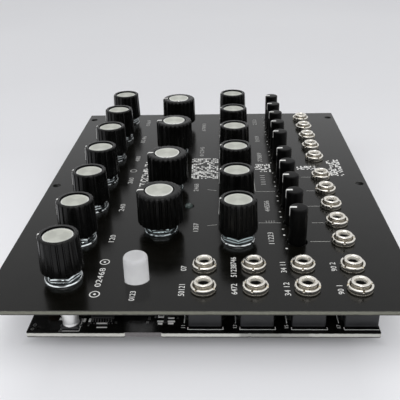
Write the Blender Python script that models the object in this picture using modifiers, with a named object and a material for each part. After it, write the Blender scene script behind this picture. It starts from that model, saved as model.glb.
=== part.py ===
# Synthesizer rack module: printed front panel, circuit board behind it, rows of
# potentiometers with knobs, trimmers, jack sockets, a push button and a lamp.
#
# Frame: +X runs across the module's width, +Y points to the module's top edge
# and +Z out of the panel's front. The origin is at the centre of the panel's
# outline in X and Y, at the height of the lowest part behind the board.
# Dimensions are in metres.

import math

import bmesh
import bpy
from mathutils import Matrix, Vector

MM = 0.001
GAP = 0.3 * MM                    # clearance between neighbouring pieces

# ---------------------------------------------------------------- levels (Z)
BOARD_BOTTOM = 5.7 * MM           # tallest rear part 5.4 mm, plus its gap
BOARD_T = 1.6 * MM
BOARD_TOP = BOARD_BOTTOM + BOARD_T
PANEL_GAP = 8.9 * MM              # air between board and panel
PANEL_BACK = BOARD_TOP + PANEL_GAP
PANEL_T = 1.6 * MM
PANEL_TOP = PANEL_BACK + PANEL_T
MOUNT_Z = BOARD_TOP + GAP         # underside of the parts set on the board

# ---------------------------------------------------------------- panel
PANEL_X = 172.4 * MM              # 34 width units
PANEL_Y = 128.5 * MM              # 3 height units
RAIL_Y = 61.25 * MM               # mounting hole rows
RAIL_X = (-78.7 * MM, -2.5 * MM, 78.8 * MM)
MOUNT_HOLE_R = 1.6 * MM
SEAT_Y = 54.5 * MM                # the back is relieved outside this for the rails
SEAT_DEPTH = 0.05 * MM

# ---------------------------------------------------------------- board
BOARD_X = 166.0 * MM
BOARD_Y_LOW = -52.4 * MM
BOARD_Y_HIGH = 52.1 * MM

# ---------------------------------------------------------------- layout
KNOB_PITCH_X = (-69.3, -46.0, -22.0, 1.8, 25.7, 49.6, 73.8)   # top row, mm
TOP_ROW_X = [x * MM for x in KNOB_PITCH_X]
TOP_ROW_Y = 42.6 * MM
LARGE_ROW_X = [x * MM for x in (-39.0, -5.5, 32.8, 66.0)]
LARGE_ROW_Y = 15.2 * MM
MID_ROW_X = TOP_ROW_X[1:]
MID_ROW_Y = -11.6 * MM
CV_ROW_X = [x * MM for x in (-48.2, -35.2, -22.2, -9.2, 3.8,
                             23.5, 36.5, 49.5, 62.5, 75.6)]
TRIM_ROW_Y = -31.35 * MM
CV_ROW_Y = -46.65 * MM
IO_X = [x * MM for x in (-75.6, -63.75)]
IO_Y = [y * MM for y in (-0.62, -16.05, -31.3, -46.7)]
BUTTON_XY = (-69.3 * MM, 20.0 * MM)
LAMP_XY = (-21.6 * MM, 6.3 * MM)

# ---------------------------------------------------------------- potentiometers
POT_X = 9.6 * MM
POT_Y = 11.0 * MM
POT_H = 6.6 * MM
BUSH_R = 3.5 * MM                 # threaded bushing
BUSH_BORE_R = 2.95 * MM
BUSH_TOP = PANEL_TOP + 2.85 * MM
SHAFT_R = 2.55 * MM
SHAFT_BOTTOM = PANEL_BACK - 2.2 * MM
WASHER_R = 5.95 * MM
WASHER_T = 0.5 * MM
NUT_FLATS = 10.0 * MM
NUT_T = 1.9 * MM
NUT_TURNS = (0, 14, 5, 22, 30, 17, 2)       # how each nut stopped, degrees
TOP_TURNS = (0, 12, 31, 17, 30, 17, 2)      # the same for the top row

# ---------------------------------------------------------------- knobs
KNOB_BOTTOM = PANEL_TOP + 3.6 * MM
KNOB_TOP = PANEL_TOP + 15.45 * MM
SMALL_R = (6.2 * MM, 6.65 * MM)   # at the top and at the foot
LARGE_R = (7.8 * MM, 7.95 * MM)
KNOB_EDGE = 0.45 * MM
POINTER_W = 0.8 * MM
POINTER_H = 0.15 * MM

TRIM_R = 3.0 * MM
TRIM_BOTTOM = PANEL_TOP - 0.2 * MM
TRIM_TOP = PANEL_TOP + 13.1 * MM
TRIM_STEM_R = 1.4 * MM
TRIM_STEM_BOTTOM = PANEL_BACK - 1.4 * MM
TRIM_BODY_X = 9.4 * MM
TRIM_BODY_Y = 10.6 * MM
TRIM_BODY_H = 5.4 * MM
TRIM_COLLAR_R = 2.95 * MM
TRIM_COLLAR_TOP = PANEL_TOP - 0.6 * MM
TRIM_BORE_R = 1.8 * MM

# ---------------------------------------------------------------- jacks
JACK_BODY_X = 9.0 * MM
JACK_BODY_Y = 10.0 * MM
JACK_BODY_H = PANEL_GAP - 2 * GAP
JACK_BODY_OFFSET_Y = -0.4 * MM
JACK_BUSH_R = 2.85 * MM
JACK_BUSH_TOP = PANEL_TOP + 3.1 * MM
JACK_BORE_R = 1.8 * MM
JACK_BORE_DEPTH = 10.2 * MM
JACK_NUT_R = 3.95 * MM
JACK_NUT_TOP = PANEL_TOP + 1.75 * MM

# ---------------------------------------------------------------- button, lamp
CAP_R = 3.72 * MM
CAP_TOP = PANEL_TOP + 7.9 * MM
CAP_BOTTOM = PANEL_BACK - 1.4 * MM
CAP_STEM_R = 1.6 * MM
CAP_STEM_BOTTOM = BOARD_TOP + 3.6 * MM
SWITCH_SIDE = 9.0 * MM
SWITCH_TOP = BOARD_TOP + 5.0 * MM
SWITCH_BORE_R = 1.95 * MM
SWITCH_BORE_BOTTOM = BOARD_TOP + 2.4 * MM
LAMP_R = 1.5 * MM
LAMP_TOP = PANEL_TOP + 1.1 * MM

# ---------------------------------------------------------------- small parts
CAN_R = 2.5 * MM
CAN_BASE = 5.3 * MM
CAN_H = 5.4 * MM
FRONT_CAN_XY = (-79.3 * MM, 39.2 * MM)
REAR_CANS = {"supply_capacitor_left": (-52.0 * MM, -22.0 * MM),
             "supply_capacitor_right": (54.0 * MM, -22.0 * MM)}
CHIP_XY = (14.0 * MM, 1.8 * MM)
CODEC_XY = (40.0 * MM, 1.8 * MM)
HEADER_XY = (0.0, 30.0 * MM)
HEADER_L = 13.0 * MM
HEADER_T = 2.6 * MM
HEADER_H = 5.4 * MM
PIN_W = 0.64 * MM
PIN_PITCH = 2.54 * MM

ROUND = 24                        # sides of a knob
HOLE = 12                         # sides of a small round


# ================================================================ helpers

for old in list(bpy.data.objects):
    bpy.data.objects.remove(old, do_unlink=True)

scene = bpy.context.scene
parts = bpy.data.collections.new("rack_module")
scene.collection.children.link(parts)
cutters = bpy.data.collections.new("cutters")
scene.collection.children.link(cutters)


def material(name, color, rough, metal=0.0, coat=0.0):
    m = bpy.data.materials.new(name)
    m.use_nodes = True
    shader = m.node_tree.nodes["Principled BSDF"]
    shader.inputs["Base Color"].default_value = (*color, 1.0)
    shader.inputs["Roughness"].default_value = rough
    shader.inputs["Metallic"].default_value = metal
    shader.inputs["Coat Weight"].default_value = coat
    m.diffuse_color = (*color, 1.0)
    return m


PANEL_MAT = material("panel_laminate", (0.040, 0.039, 0.034), 0.38)
BOARD_MAT = material("board_laminate", (0.008, 0.008, 0.008), 0.25)
KNOB_MAT = material("knob_plastic", (0.006, 0.006, 0.006), 0.28)
TRIM_MAT = material("trimmer_plastic", (0.007, 0.007, 0.008), 0.35)
POT_MAT = material("potentiometer_metal", (0.62, 0.65, 0.70), 0.28, 1.0)
TRIM_BODY_MAT = material("trimmer_housing", (0.03, 0.05, 0.09), 0.45)
JACK_MAT = material("socket_metal", (0.72, 0.69, 0.60), 0.25, 1.0)
BUTTON_MAT = material("button_plastic", (0.62, 0.63, 0.66), 0.35)
SWITCH_MAT = material("switch_plastic", (0.02, 0.02, 0.02), 0.5)
LAMP_MAT = material("lamp_epoxy", (0.20, 0.27, 0.27), 0.2)
CAN_MAT = material("capacitor_aluminium", (0.75, 0.75, 0.76), 0.3, 1.0)
CHIP_MAT = material("chip_resin", (0.015, 0.015, 0.016), 0.6)
HEADER_MAT = material("header_plastic", (0.012, 0.012, 0.012), 0.5)


def join_mesh(source, target, matrix):
    """Copies one bmesh into another through a matrix."""
    made = {v: target.verts.new(matrix @ v.co) for v in source.verts}
    for f in source.faces:
        target.faces.new([made[v] for v in f.verts])


def box_mesh(name, boxes):
    """One mesh of several boxes, each given as its low and high corner."""
    bm = bmesh.new()
    for low, high in boxes:
        low, high = Vector(low), Vector(high)
        size = high - low
        matrix = Matrix.Translation((low + high) / 2) @ Matrix.Diagonal((*size, 1.0))
        bmesh.ops.create_cube(bm, size=1.0, matrix=matrix)
    mesh = bpy.data.meshes.new(name)
    bm.to_mesh(mesh)
    bm.free()
    return mesh


def drum_mesh(name, drums, sides, turn=0.0):
    """One mesh of several upright cylinders, each (x, y, z low, z high, radius)."""
    bm = bmesh.new()
    for n, (x, y, low, high, radius) in enumerate(drums):
        angle = math.radians(turn[n % len(turn)]) if turn else 0.0
        matrix = (Matrix.Translation((x, y, (low + high) / 2))
                  @ Matrix.Rotation(angle, 4, "Z"))
        bmesh.ops.create_cone(bm, cap_ends=True, cap_tris=False, segments=sides,
                              radius1=radius, radius2=radius, depth=high - low,
                              matrix=matrix)
    mesh = bpy.data.meshes.new(name)
    bm.to_mesh(mesh)
    bm.free()
    return mesh


def place(name, mesh, group=parts, at=(0, 0, 0), mat=None):
    ob = bpy.data.objects.new(name, mesh)
    group.objects.link(ob)
    ob.location = at
    if mat is not None and not mesh.materials:
        mesh.materials.append(mat)
    return ob


def cutter(name, mesh):
    ob = place(name, mesh, cutters)
    ob.hide_render = True
    ob.display_type = "WIRE"
    return ob


def boolean(ob, other, kind):
    mod = ob.modifiers.new(kind.lower() + "_" + other.name, "BOOLEAN")
    mod.operation = kind
    mod.object = other
    mod.solver = "EXACT"
    return mod


def turned(name, profile, steps):
    """An upright turned solid. The profile starts on the axis at the top, runs
    out and down its outer side, and ends on the axis at the bottom."""
    mesh = bpy.data.meshes.new(name)
    bm = bmesh.new()
    verts = [bm.verts.new((r, 0.0, z)) for r, z in profile]
    for a, b in zip(verts, verts[1:]):
        bm.edges.new((a, b))
    bm.to_mesh(mesh)
    bm.free()
    ob = place(name, mesh, cutters)
    mod = ob.modifiers.new("turn", "SCREW")
    mod.axis = "Z"
    mod.angle = math.tau
    mod.steps = steps
    mod.render_steps = steps
    mod.screw_offset = 0.0
    mod.use_merge_vertices = True
    mod.merge_threshold = 0.00001
    mod.use_smooth_shade = False
    return ob


def finished(ob, name, smooth=None, remove=True):
    """The evaluated mesh of an object, welded, as a mesh of its own."""
    bpy.context.view_layer.update()
    seen = ob.evaluated_get(bpy.context.evaluated_depsgraph_get())
    mesh = bpy.data.meshes.new_from_object(seen)
    mesh.name = name
    bm = bmesh.new()
    bm.from_mesh(mesh)
    bmesh.ops.remove_doubles(bm, verts=bm.verts, dist=0.000001)
    bm.to_mesh(mesh)
    bm.free()
    if smooth is not None:
        mesh.shade_smooth()
        mesh.set_sharp_from_angle(angle=math.radians(smooth))
    if remove:
        bpy.data.objects.remove(ob, do_unlink=True)
    return mesh


def cut_or_join(name, base, steps, smooth=None, turn=None):
    """A mesh made from base by unions and cuts with helper meshes."""
    body = place(name + "_body", base, cutters)
    helpers = []
    for n, (kind, mesh) in enumerate(steps):
        helper = cutter("%s_%s_%d" % (name, kind.lower(), n), mesh)
        boolean(body, helper, kind)
        helpers.append(helper)
    mesh = finished(body, name, smooth)
    for helper in helpers:
        bpy.data.objects.remove(helper, do_unlink=True)
    return mesh


# ================================================================ front panel

bpy.ops.mesh.primitive_cube_add(size=1.0, location=(0, 0, 0))
panel = bpy.context.active_object
panel.name = "front_panel"
panel.data.name = "front_panel"
panel.data.transform(Matrix.Diagonal((PANEL_X, PANEL_Y, PANEL_T, 1.0)))
for group in list(panel.users_collection):
    group.objects.unlink(panel)
parts.objects.link(panel)
panel.location = (0, 0, PANEL_BACK + PANEL_T / 2)
panel.data.materials.append(PANEL_MAT)

low, high = PANEL_BACK - 1 * MM, PANEL_TOP + 1 * MM
holes = []
holes += [(x, y, low, high, MOUNT_HOLE_R) for x in RAIL_X for y in (-RAIL_Y, RAIL_Y)]
holes += [(x, TOP_ROW_Y, low, high, BUSH_R + 0.45 * MM) for x in TOP_ROW_X]
holes += [(x, LARGE_ROW_Y, low, high, BUSH_R + 0.45 * MM) for x in LARGE_ROW_X]
holes += [(x, MID_ROW_Y, low, high, BUSH_R + 0.45 * MM) for x in MID_ROW_X]
holes += [(x, TRIM_ROW_Y, low, high, TRIM_COLLAR_R + 0.45 * MM) for x in CV_ROW_X]
holes += [(x, CV_ROW_Y, low, high, JACK_BUSH_R + 0.45 * MM) for x in CV_ROW_X]
holes += [(x, y, low, high, JACK_BUSH_R + 0.45 * MM) for x in IO_X for y in IO_Y]
holes += [(*BUTTON_XY, low, high, CAP_R + 0.5 * MM)]
holes += [(*LAMP_XY, low, high, LAMP_R + 0.4 * MM)]
panel_holes = cutter("panel_holes", drum_mesh("panel_holes", holes, HOLE, (15.0,)))
boolean(panel, panel_holes, "DIFFERENCE")
rail_seats = cutter("rail_seats", box_mesh("rail_seats", [
    ((-PANEL_X / 2 - 1 * MM, min(s * SEAT_Y, s * PANEL_Y), PANEL_BACK - 1 * MM),
     (PANEL_X / 2 + 1 * MM, max(s * SEAT_Y, s * PANEL_Y), PANEL_BACK + SEAT_DEPTH))
    for s in (-1, 1)]))
boolean(panel, rail_seats, "DIFFERENCE")

# ================================================================ circuit board

board = place("main_board", box_mesh("main_board", [
    ((-BOARD_X / 2, BOARD_Y_LOW, BOARD_BOTTOM), (BOARD_X / 2, BOARD_Y_HIGH, BOARD_TOP))]),
    mat=BOARD_MAT)

# ================================================================ knobs


def knob_mesh(name, radii, sides):
    radius, foot = radii
    top = KNOB_TOP - POINTER_H
    body = turned(name + "_turned", [
        (0.0, top), (radius - KNOB_EDGE, top), (radius, top - KNOB_EDGE),
        (foot, KNOB_BOTTOM), (SHAFT_R, KNOB_BOTTOM), (SHAFT_R, SHAFT_BOTTOM),
        (0.0, SHAFT_BOTTOM)], sides)
    pointer = cutter(name + "_pointer", box_mesh(name + "_pointer", [
        ((-POINTER_W / 2, radius * 0.62, top - 4 * MM),
         (POINTER_W / 2, radius + POINTER_H, KNOB_TOP))]))
    boolean(body, pointer, "UNION")
    mesh = finished(body, name, 40)
    bpy.data.objects.remove(pointer, do_unlink=True)
    return mesh


small_knob = knob_mesh("knob_small", SMALL_R, ROUND)
large_knob = knob_mesh("knob_large", LARGE_R, 28)
for n, x in enumerate(TOP_ROW_X):
    place("knob_top_%d" % (n + 1), small_knob, at=(x, TOP_ROW_Y, 0), mat=KNOB_MAT)
for n, x in enumerate(LARGE_ROW_X):
    place("knob_large_%d" % (n + 1), large_knob, at=(x, LARGE_ROW_Y, 0), mat=KNOB_MAT)
for n, x in enumerate(MID_ROW_X):
    place("knob_mid_%d" % (n + 1), small_knob, at=(x, MID_ROW_Y, 0), mat=KNOB_MAT)

trim_body = turned("trim_knob_turned", [
    (0.0, TRIM_TOP), (TRIM_R - 0.3 * MM, TRIM_TOP), (TRIM_R, TRIM_TOP - 0.3 * MM),
    (TRIM_R, TRIM_BOTTOM), (TRIM_STEM_R, TRIM_BOTTOM),
    (TRIM_STEM_R, TRIM_STEM_BOTTOM), (0.0, TRIM_STEM_BOTTOM)], 12)
trim_knob = finished(trim_body, "trim_knob", 40)
for n, x in enumerate(CV_ROW_X):
    place("trim_knob_%d" % (n + 1), trim_knob, at=(x, TRIM_ROW_Y, 0), mat=TRIM_MAT)

# ================================================================ potentiometers


def pot_row(name, xs, y, nut_turns):
    """Housings, bushings, washers and hex nuts of one row. The housings stand
    on one thin carrier strip, which makes the row a single solid."""
    shells = [((x - POT_X / 2, y - POT_Y / 2, MOUNT_Z),
               (x + POT_X / 2, y + POT_Y / 2, MOUNT_Z + POT_H)) for x in xs]
    strip = [((xs[0], y - 1.5 * MM, MOUNT_Z + 0.2 * MM),
              (xs[-1], y + 1.5 * MM, MOUNT_Z + 0.7 * MM))]
    bushes = [(x, y, MOUNT_Z + POT_H - 1 * MM, BUSH_TOP, BUSH_R) for x in xs]
    washers = [(x, y, PANEL_TOP + GAP, PANEL_TOP + GAP + WASHER_T, WASHER_R) for x in xs]
    nuts = [(x, y, PANEL_TOP + GAP + WASHER_T / 2, PANEL_TOP + 0.5 * MM + NUT_T,
             NUT_FLATS / math.sqrt(3)) for x in xs]
    bores = [(x, y, SHAFT_BOTTOM - 0.5 * MM, BUSH_TOP + 1 * MM, BUSH_BORE_R) for x in xs]
    turns = [30 + a for a in nut_turns]
    return cut_or_join(name, box_mesh(name + "_shells", shells), [
        ("UNION", box_mesh(name + "_strip", strip)),
        ("UNION", drum_mesh(name + "_bushes", bushes, HOLE, (15.0,))),
        ("UNION", drum_mesh(name + "_washers", washers, 16)),
        ("UNION", drum_mesh(name + "_nuts", nuts, 6, turns)),
        ("DIFFERENCE", drum_mesh(name + "_bores", bores, HOLE, (15.0,))),
    ], 40)


place("pots_top_row", pot_row("pots_top_row", TOP_ROW_X, TOP_ROW_Y, TOP_TURNS), mat=POT_MAT)
place("pots_large_row", pot_row("pots_large_row", LARGE_ROW_X, LARGE_ROW_Y, NUT_TURNS[2:]), mat=POT_MAT)
place("pots_mid_row", pot_row("pots_mid_row", MID_ROW_X, MID_ROW_Y,
                              NUT_TURNS[4:] + NUT_TURNS[:3]), mat=POT_MAT)

shells = [((x - TRIM_BODY_X / 2, TRIM_ROW_Y - TRIM_BODY_Y / 2, MOUNT_Z),
           (x + TRIM_BODY_X / 2, TRIM_ROW_Y + TRIM_BODY_Y / 2, MOUNT_Z + TRIM_BODY_H))
          for x in CV_ROW_X]
strip = [((CV_ROW_X[0], TRIM_ROW_Y - 1.5 * MM, MOUNT_Z + 0.2 * MM),
          (CV_ROW_X[-1], TRIM_ROW_Y + 1.5 * MM, MOUNT_Z + 0.7 * MM))]
collars = [(x, TRIM_ROW_Y, MOUNT_Z + TRIM_BODY_H - 1 * MM, TRIM_COLLAR_TOP,
            TRIM_COLLAR_R) for x in CV_ROW_X]
bores = [(x, TRIM_ROW_Y, TRIM_STEM_BOTTOM - 0.5 * MM, TRIM_COLLAR_TOP + 1 * MM,
          TRIM_BORE_R) for x in CV_ROW_X]
place("trimmer_row", cut_or_join("trimmer_row", box_mesh("trimmer_shells", shells), [
    ("UNION", box_mesh("trimmer_strip", strip)),
    ("UNION", drum_mesh("trimmer_collars", collars, HOLE, (15.0,))),
    ("DIFFERENCE", drum_mesh("trimmer_bores", bores, HOLE, (15.0,))),
], 40), mat=TRIM_BODY_MAT)

# ================================================================ jack sockets

jack_shell = box_mesh("jack_shell", [
    ((-JACK_BODY_X / 2, JACK_BODY_OFFSET_Y - JACK_BODY_Y / 2, MOUNT_Z),
     (JACK_BODY_X / 2, JACK_BODY_OFFSET_Y + JACK_BODY_Y / 2, MOUNT_Z + JACK_BODY_H))])
jack_mesh = cut_or_join("jack", jack_shell, [
    ("UNION", drum_mesh("jack_bush", [
        (0, 0, PANEL_BACK - 1.5 * MM, JACK_BUSH_TOP, JACK_BUSH_R)], HOLE, (15.0,))),
    ("UNION", drum_mesh("jack_nut", [
        (0, 0, PANEL_TOP + GAP, JACK_NUT_TOP, JACK_NUT_R)], 16, (0.0,))),
    ("DIFFERENCE", drum_mesh("jack_bore", [
        (0, 0, JACK_BUSH_TOP - JACK_BORE_DEPTH, JACK_BUSH_TOP + 1 * MM, JACK_BORE_R)],
        HOLE, (15.0,))),
], 40)
number = 0
for y in IO_Y:
    for x in IO_X:
        number += 1
        place("jack_io_%d" % number, jack_mesh, at=(x, y, 0), mat=JACK_MAT)
for n, x in enumerate(CV_ROW_X):
    place("jack_cv_%d" % (n + 1), jack_mesh, at=(x, CV_ROW_Y, 0), mat=JACK_MAT)

# ================================================================ push button

cap = turned("button_cap_turned", [
    (0.0, CAP_TOP), (CAP_R - 1.0 * MM, CAP_TOP), (CAP_R - 0.35 * MM, CAP_TOP - 0.35 * MM),
    (CAP_R - 0.1 * MM, CAP_TOP - 1.0 * MM), (CAP_R, CAP_BOTTOM),
    (CAP_STEM_R, CAP_BOTTOM), (CAP_STEM_R, CAP_STEM_BOTTOM), (0.0, CAP_STEM_BOTTOM)], ROUND)
place("button_cap", finished(cap, "button_cap", 40), at=(*BUTTON_XY, 0), mat=BUTTON_MAT)

bx, by = BUTTON_XY
switch = cut_or_join("button_switch", box_mesh("switch_shell", [
    ((bx - SWITCH_SIDE / 2, by - SWITCH_SIDE / 2, MOUNT_Z),
     (bx + SWITCH_SIDE / 2, by + SWITCH_SIDE / 2, SWITCH_TOP))]), [
    ("DIFFERENCE", drum_mesh("switch_bore", [
        (bx, by, SWITCH_BORE_BOTTOM, SWITCH_TOP + 1 * MM, SWITCH_BORE_R)], HOLE, (15.0,)))])
place("button_switch", switch, mat=SWITCH_MAT)

# ================================================================ lamp

lx, ly = LAMP_XY
dome = []
for n in range(4):
    a = math.radians(30 * n)
    dome.append((LAMP_R * math.sin(a), LAMP_TOP - 0.8 * MM * (1 - math.cos(a))))
lamp_body = turned("lamp_turned", dome + [
    (LAMP_R, PANEL_BACK - 0.6 * MM), (LAMP_R + 0.35 * MM, PANEL_BACK - 0.6 * MM),
    (LAMP_R + 0.35 * MM, PANEL_BACK - 1.6 * MM), (0.0, PANEL_BACK - 1.6 * MM)], HOLE)
legs = cutter("lamp_legs", box_mesh("lamp_legs", [
    ((s * 1.27 * MM - 0.25 * MM, -0.25 * MM, MOUNT_Z),
     (s * 1.27 * MM + 0.25 * MM, 0.25 * MM, PANEL_BACK - 1.2 * MM)) for s in (-1, 1)]))
boolean(lamp_body, legs, "UNION")
lamp_mesh = finished(lamp_body, "lamp", 40)
bpy.data.objects.remove(legs, do_unlink=True)
place("status_lamp", lamp_mesh, at=(lx, ly, 0), mat=LAMP_MAT)

# ================================================================ capacitors


def can_mesh(name):
    """A can on its square base, standing on z = 0."""
    base = box_mesh(name + "_base", [
        ((-CAN_BASE / 2, -CAN_BASE / 2, 0), (CAN_BASE / 2, CAN_BASE / 2, 0.9 * MM))])
    body = place(name + "_body", base, cutters)
    can = turned(name + "_can", [
        (0.0, CAN_H), (CAN_R - 0.3 * MM, CAN_H), (CAN_R, CAN_H - 0.3 * MM),
        (CAN_R, 0.5 * MM), (0.0, 0.5 * MM)], 16)
    boolean(body, can, "UNION")
    mesh = finished(body, name, 40)
    bpy.data.objects.remove(can, do_unlink=True)
    return mesh


can = can_mesh("capacitor")
place("edge_capacitor", can, at=(*FRONT_CAN_XY, MOUNT_Z), mat=CAN_MAT)
for name, (x, y) in REAR_CANS.items():
    ob = place(name, can, at=(x, y, BOARD_BOTTOM - GAP), mat=CAN_MAT)
    ob.rotation_euler = (math.pi, 0, 0)

# ================================================================ chips


def chip(name, at, side, legs_out, height):
    """A flat package with its leads as one thin skirt."""
    x, y = at
    half = side / 2
    reach = half + legs_out
    body = box_mesh(name + "_body", [
        ((x - half, y - half, MOUNT_Z + 0.1 * MM), (x + half, y + half, MOUNT_Z + height))])
    skirt = box_mesh(name + "_skirt", [
        ((x - reach, y - half * 0.9, MOUNT_Z), (x + reach, y + half * 0.9, MOUNT_Z + 0.45 * MM))])
    skirt_2 = box_mesh(name + "_skirt_2", [
        ((x - half * 0.9, y - reach, MOUNT_Z + 0.02 * MM),
         (x + half * 0.9, y + reach, MOUNT_Z + 0.43 * MM))])
    place(name, cut_or_join(name, body, [("UNION", skirt), ("UNION", skirt_2)]), mat=CHIP_MAT)


chip("processor_chip", CHIP_XY, 10.0 * MM, 0.9 * MM, 1.5 * MM)
chip("converter_chip", CODEC_XY, 7.0 * MM, 0.9 * MM, 1.3 * MM)

# ================================================================ power header

hx, hy = HEADER_XY
pin_x = [hx + (n - 2) * PIN_PITCH for n in range(5)]
pin_z = [BOARD_BOTTOM - GAP - PIN_PITCH * (0.56 + k) for k in range(2)]
block = box_mesh("header_block", [
    ((hx - HEADER_L / 2, hy - HEADER_T / 2, 0.0),
     (hx + HEADER_L / 2, hy + HEADER_T / 2, HEADER_H))])
pins = box_mesh("header_pins", [
    ((x - PIN_W / 2, hy - HEADER_T / 2 - (0.9 + 2.2 * k) * MM, z - PIN_W / 2),
     (x + PIN_W / 2, hy + HEADER_T / 2 + 6.0 * MM, z + PIN_W / 2))
    for x in pin_x for k, z in enumerate(pin_z)])
tails = box_mesh("header_tails", [
    ((x - PIN_W / 2 + 0.02 * MM, hy - HEADER_T / 2 - (0.85 + 2.2 * k) * MM, z - PIN_W / 2 + 0.05 * MM),
     (x + PIN_W / 2 - 0.02 * MM, hy - HEADER_T / 2 - (0.25 + 2.2 * k) * MM, BOARD_BOTTOM - GAP))
    for x in pin_x for k, z in enumerate(pin_z)])
place("power_header", cut_or_join("power_header", block, [
    ("UNION", pins), ("UNION", tails)]), mat=HEADER_MAT)
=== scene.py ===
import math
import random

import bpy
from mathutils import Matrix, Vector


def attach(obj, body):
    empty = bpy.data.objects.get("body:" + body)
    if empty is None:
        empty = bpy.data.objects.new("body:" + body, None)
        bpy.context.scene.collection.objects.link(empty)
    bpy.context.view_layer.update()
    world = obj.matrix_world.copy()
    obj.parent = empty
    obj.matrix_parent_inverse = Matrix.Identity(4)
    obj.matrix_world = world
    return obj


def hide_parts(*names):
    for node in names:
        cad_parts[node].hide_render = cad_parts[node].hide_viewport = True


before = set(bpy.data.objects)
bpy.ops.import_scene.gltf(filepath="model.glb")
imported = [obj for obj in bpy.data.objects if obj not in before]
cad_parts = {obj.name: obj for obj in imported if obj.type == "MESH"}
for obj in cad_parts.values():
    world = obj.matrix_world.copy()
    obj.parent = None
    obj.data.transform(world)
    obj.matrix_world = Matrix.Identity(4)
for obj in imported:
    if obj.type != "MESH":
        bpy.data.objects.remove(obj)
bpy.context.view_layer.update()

# Looks of a synthesizer rack module: a printed front panel over a circuit board,
# rows of fluted knobs, slim trimmer knobs, jack sockets, a push button, a lamp.
# Shapes are written in millimetres: X across the module, Y to its top edge,
# Z out of the panel. W below is a height above the panel's front face.

MM = 0.001
TAU = math.tau

PT, PB = 17.8, 16.2                # panel front and back
BT, BB = 7.3, 5.7                  # board top and bottom
MZ = 7.6                           # underside of the parts set on the board

TOP_X = (-69.3, -46.0, -22.0, 1.8, 25.7, 49.6, 73.8)
TOP_Y = 42.6
BIG_X = (-39.0, -5.5, 32.8, 66.0)
BIG_Y = 15.2
MID_X = TOP_X[1:]
MID_Y = -11.6
CV_X = (-48.2, -35.2, -22.2, -9.2, 3.8, 23.5, 36.5, 49.5, 62.5, 75.6)
TRIM_Y = -31.35
CV_Y = -46.65
IO_X = (-75.6, -63.75)
IO_Y = (-0.62, -16.05, -31.3, -46.7)
BUTTON = (-69.3, 20.0)
LAMP = (-21.6, 6.3)
CAN = (-79.3, 39.2)
NUT_TURNS = (0, 14, 5, 22, 30, 17, 2)
TOP_TURNS = (0, 12, 31, 17, 30, 17, 2)
RAIL_X = (-78.7, -2.5, 78.8)
RAIL_Y = 61.25


# =================================================================== materials

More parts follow.
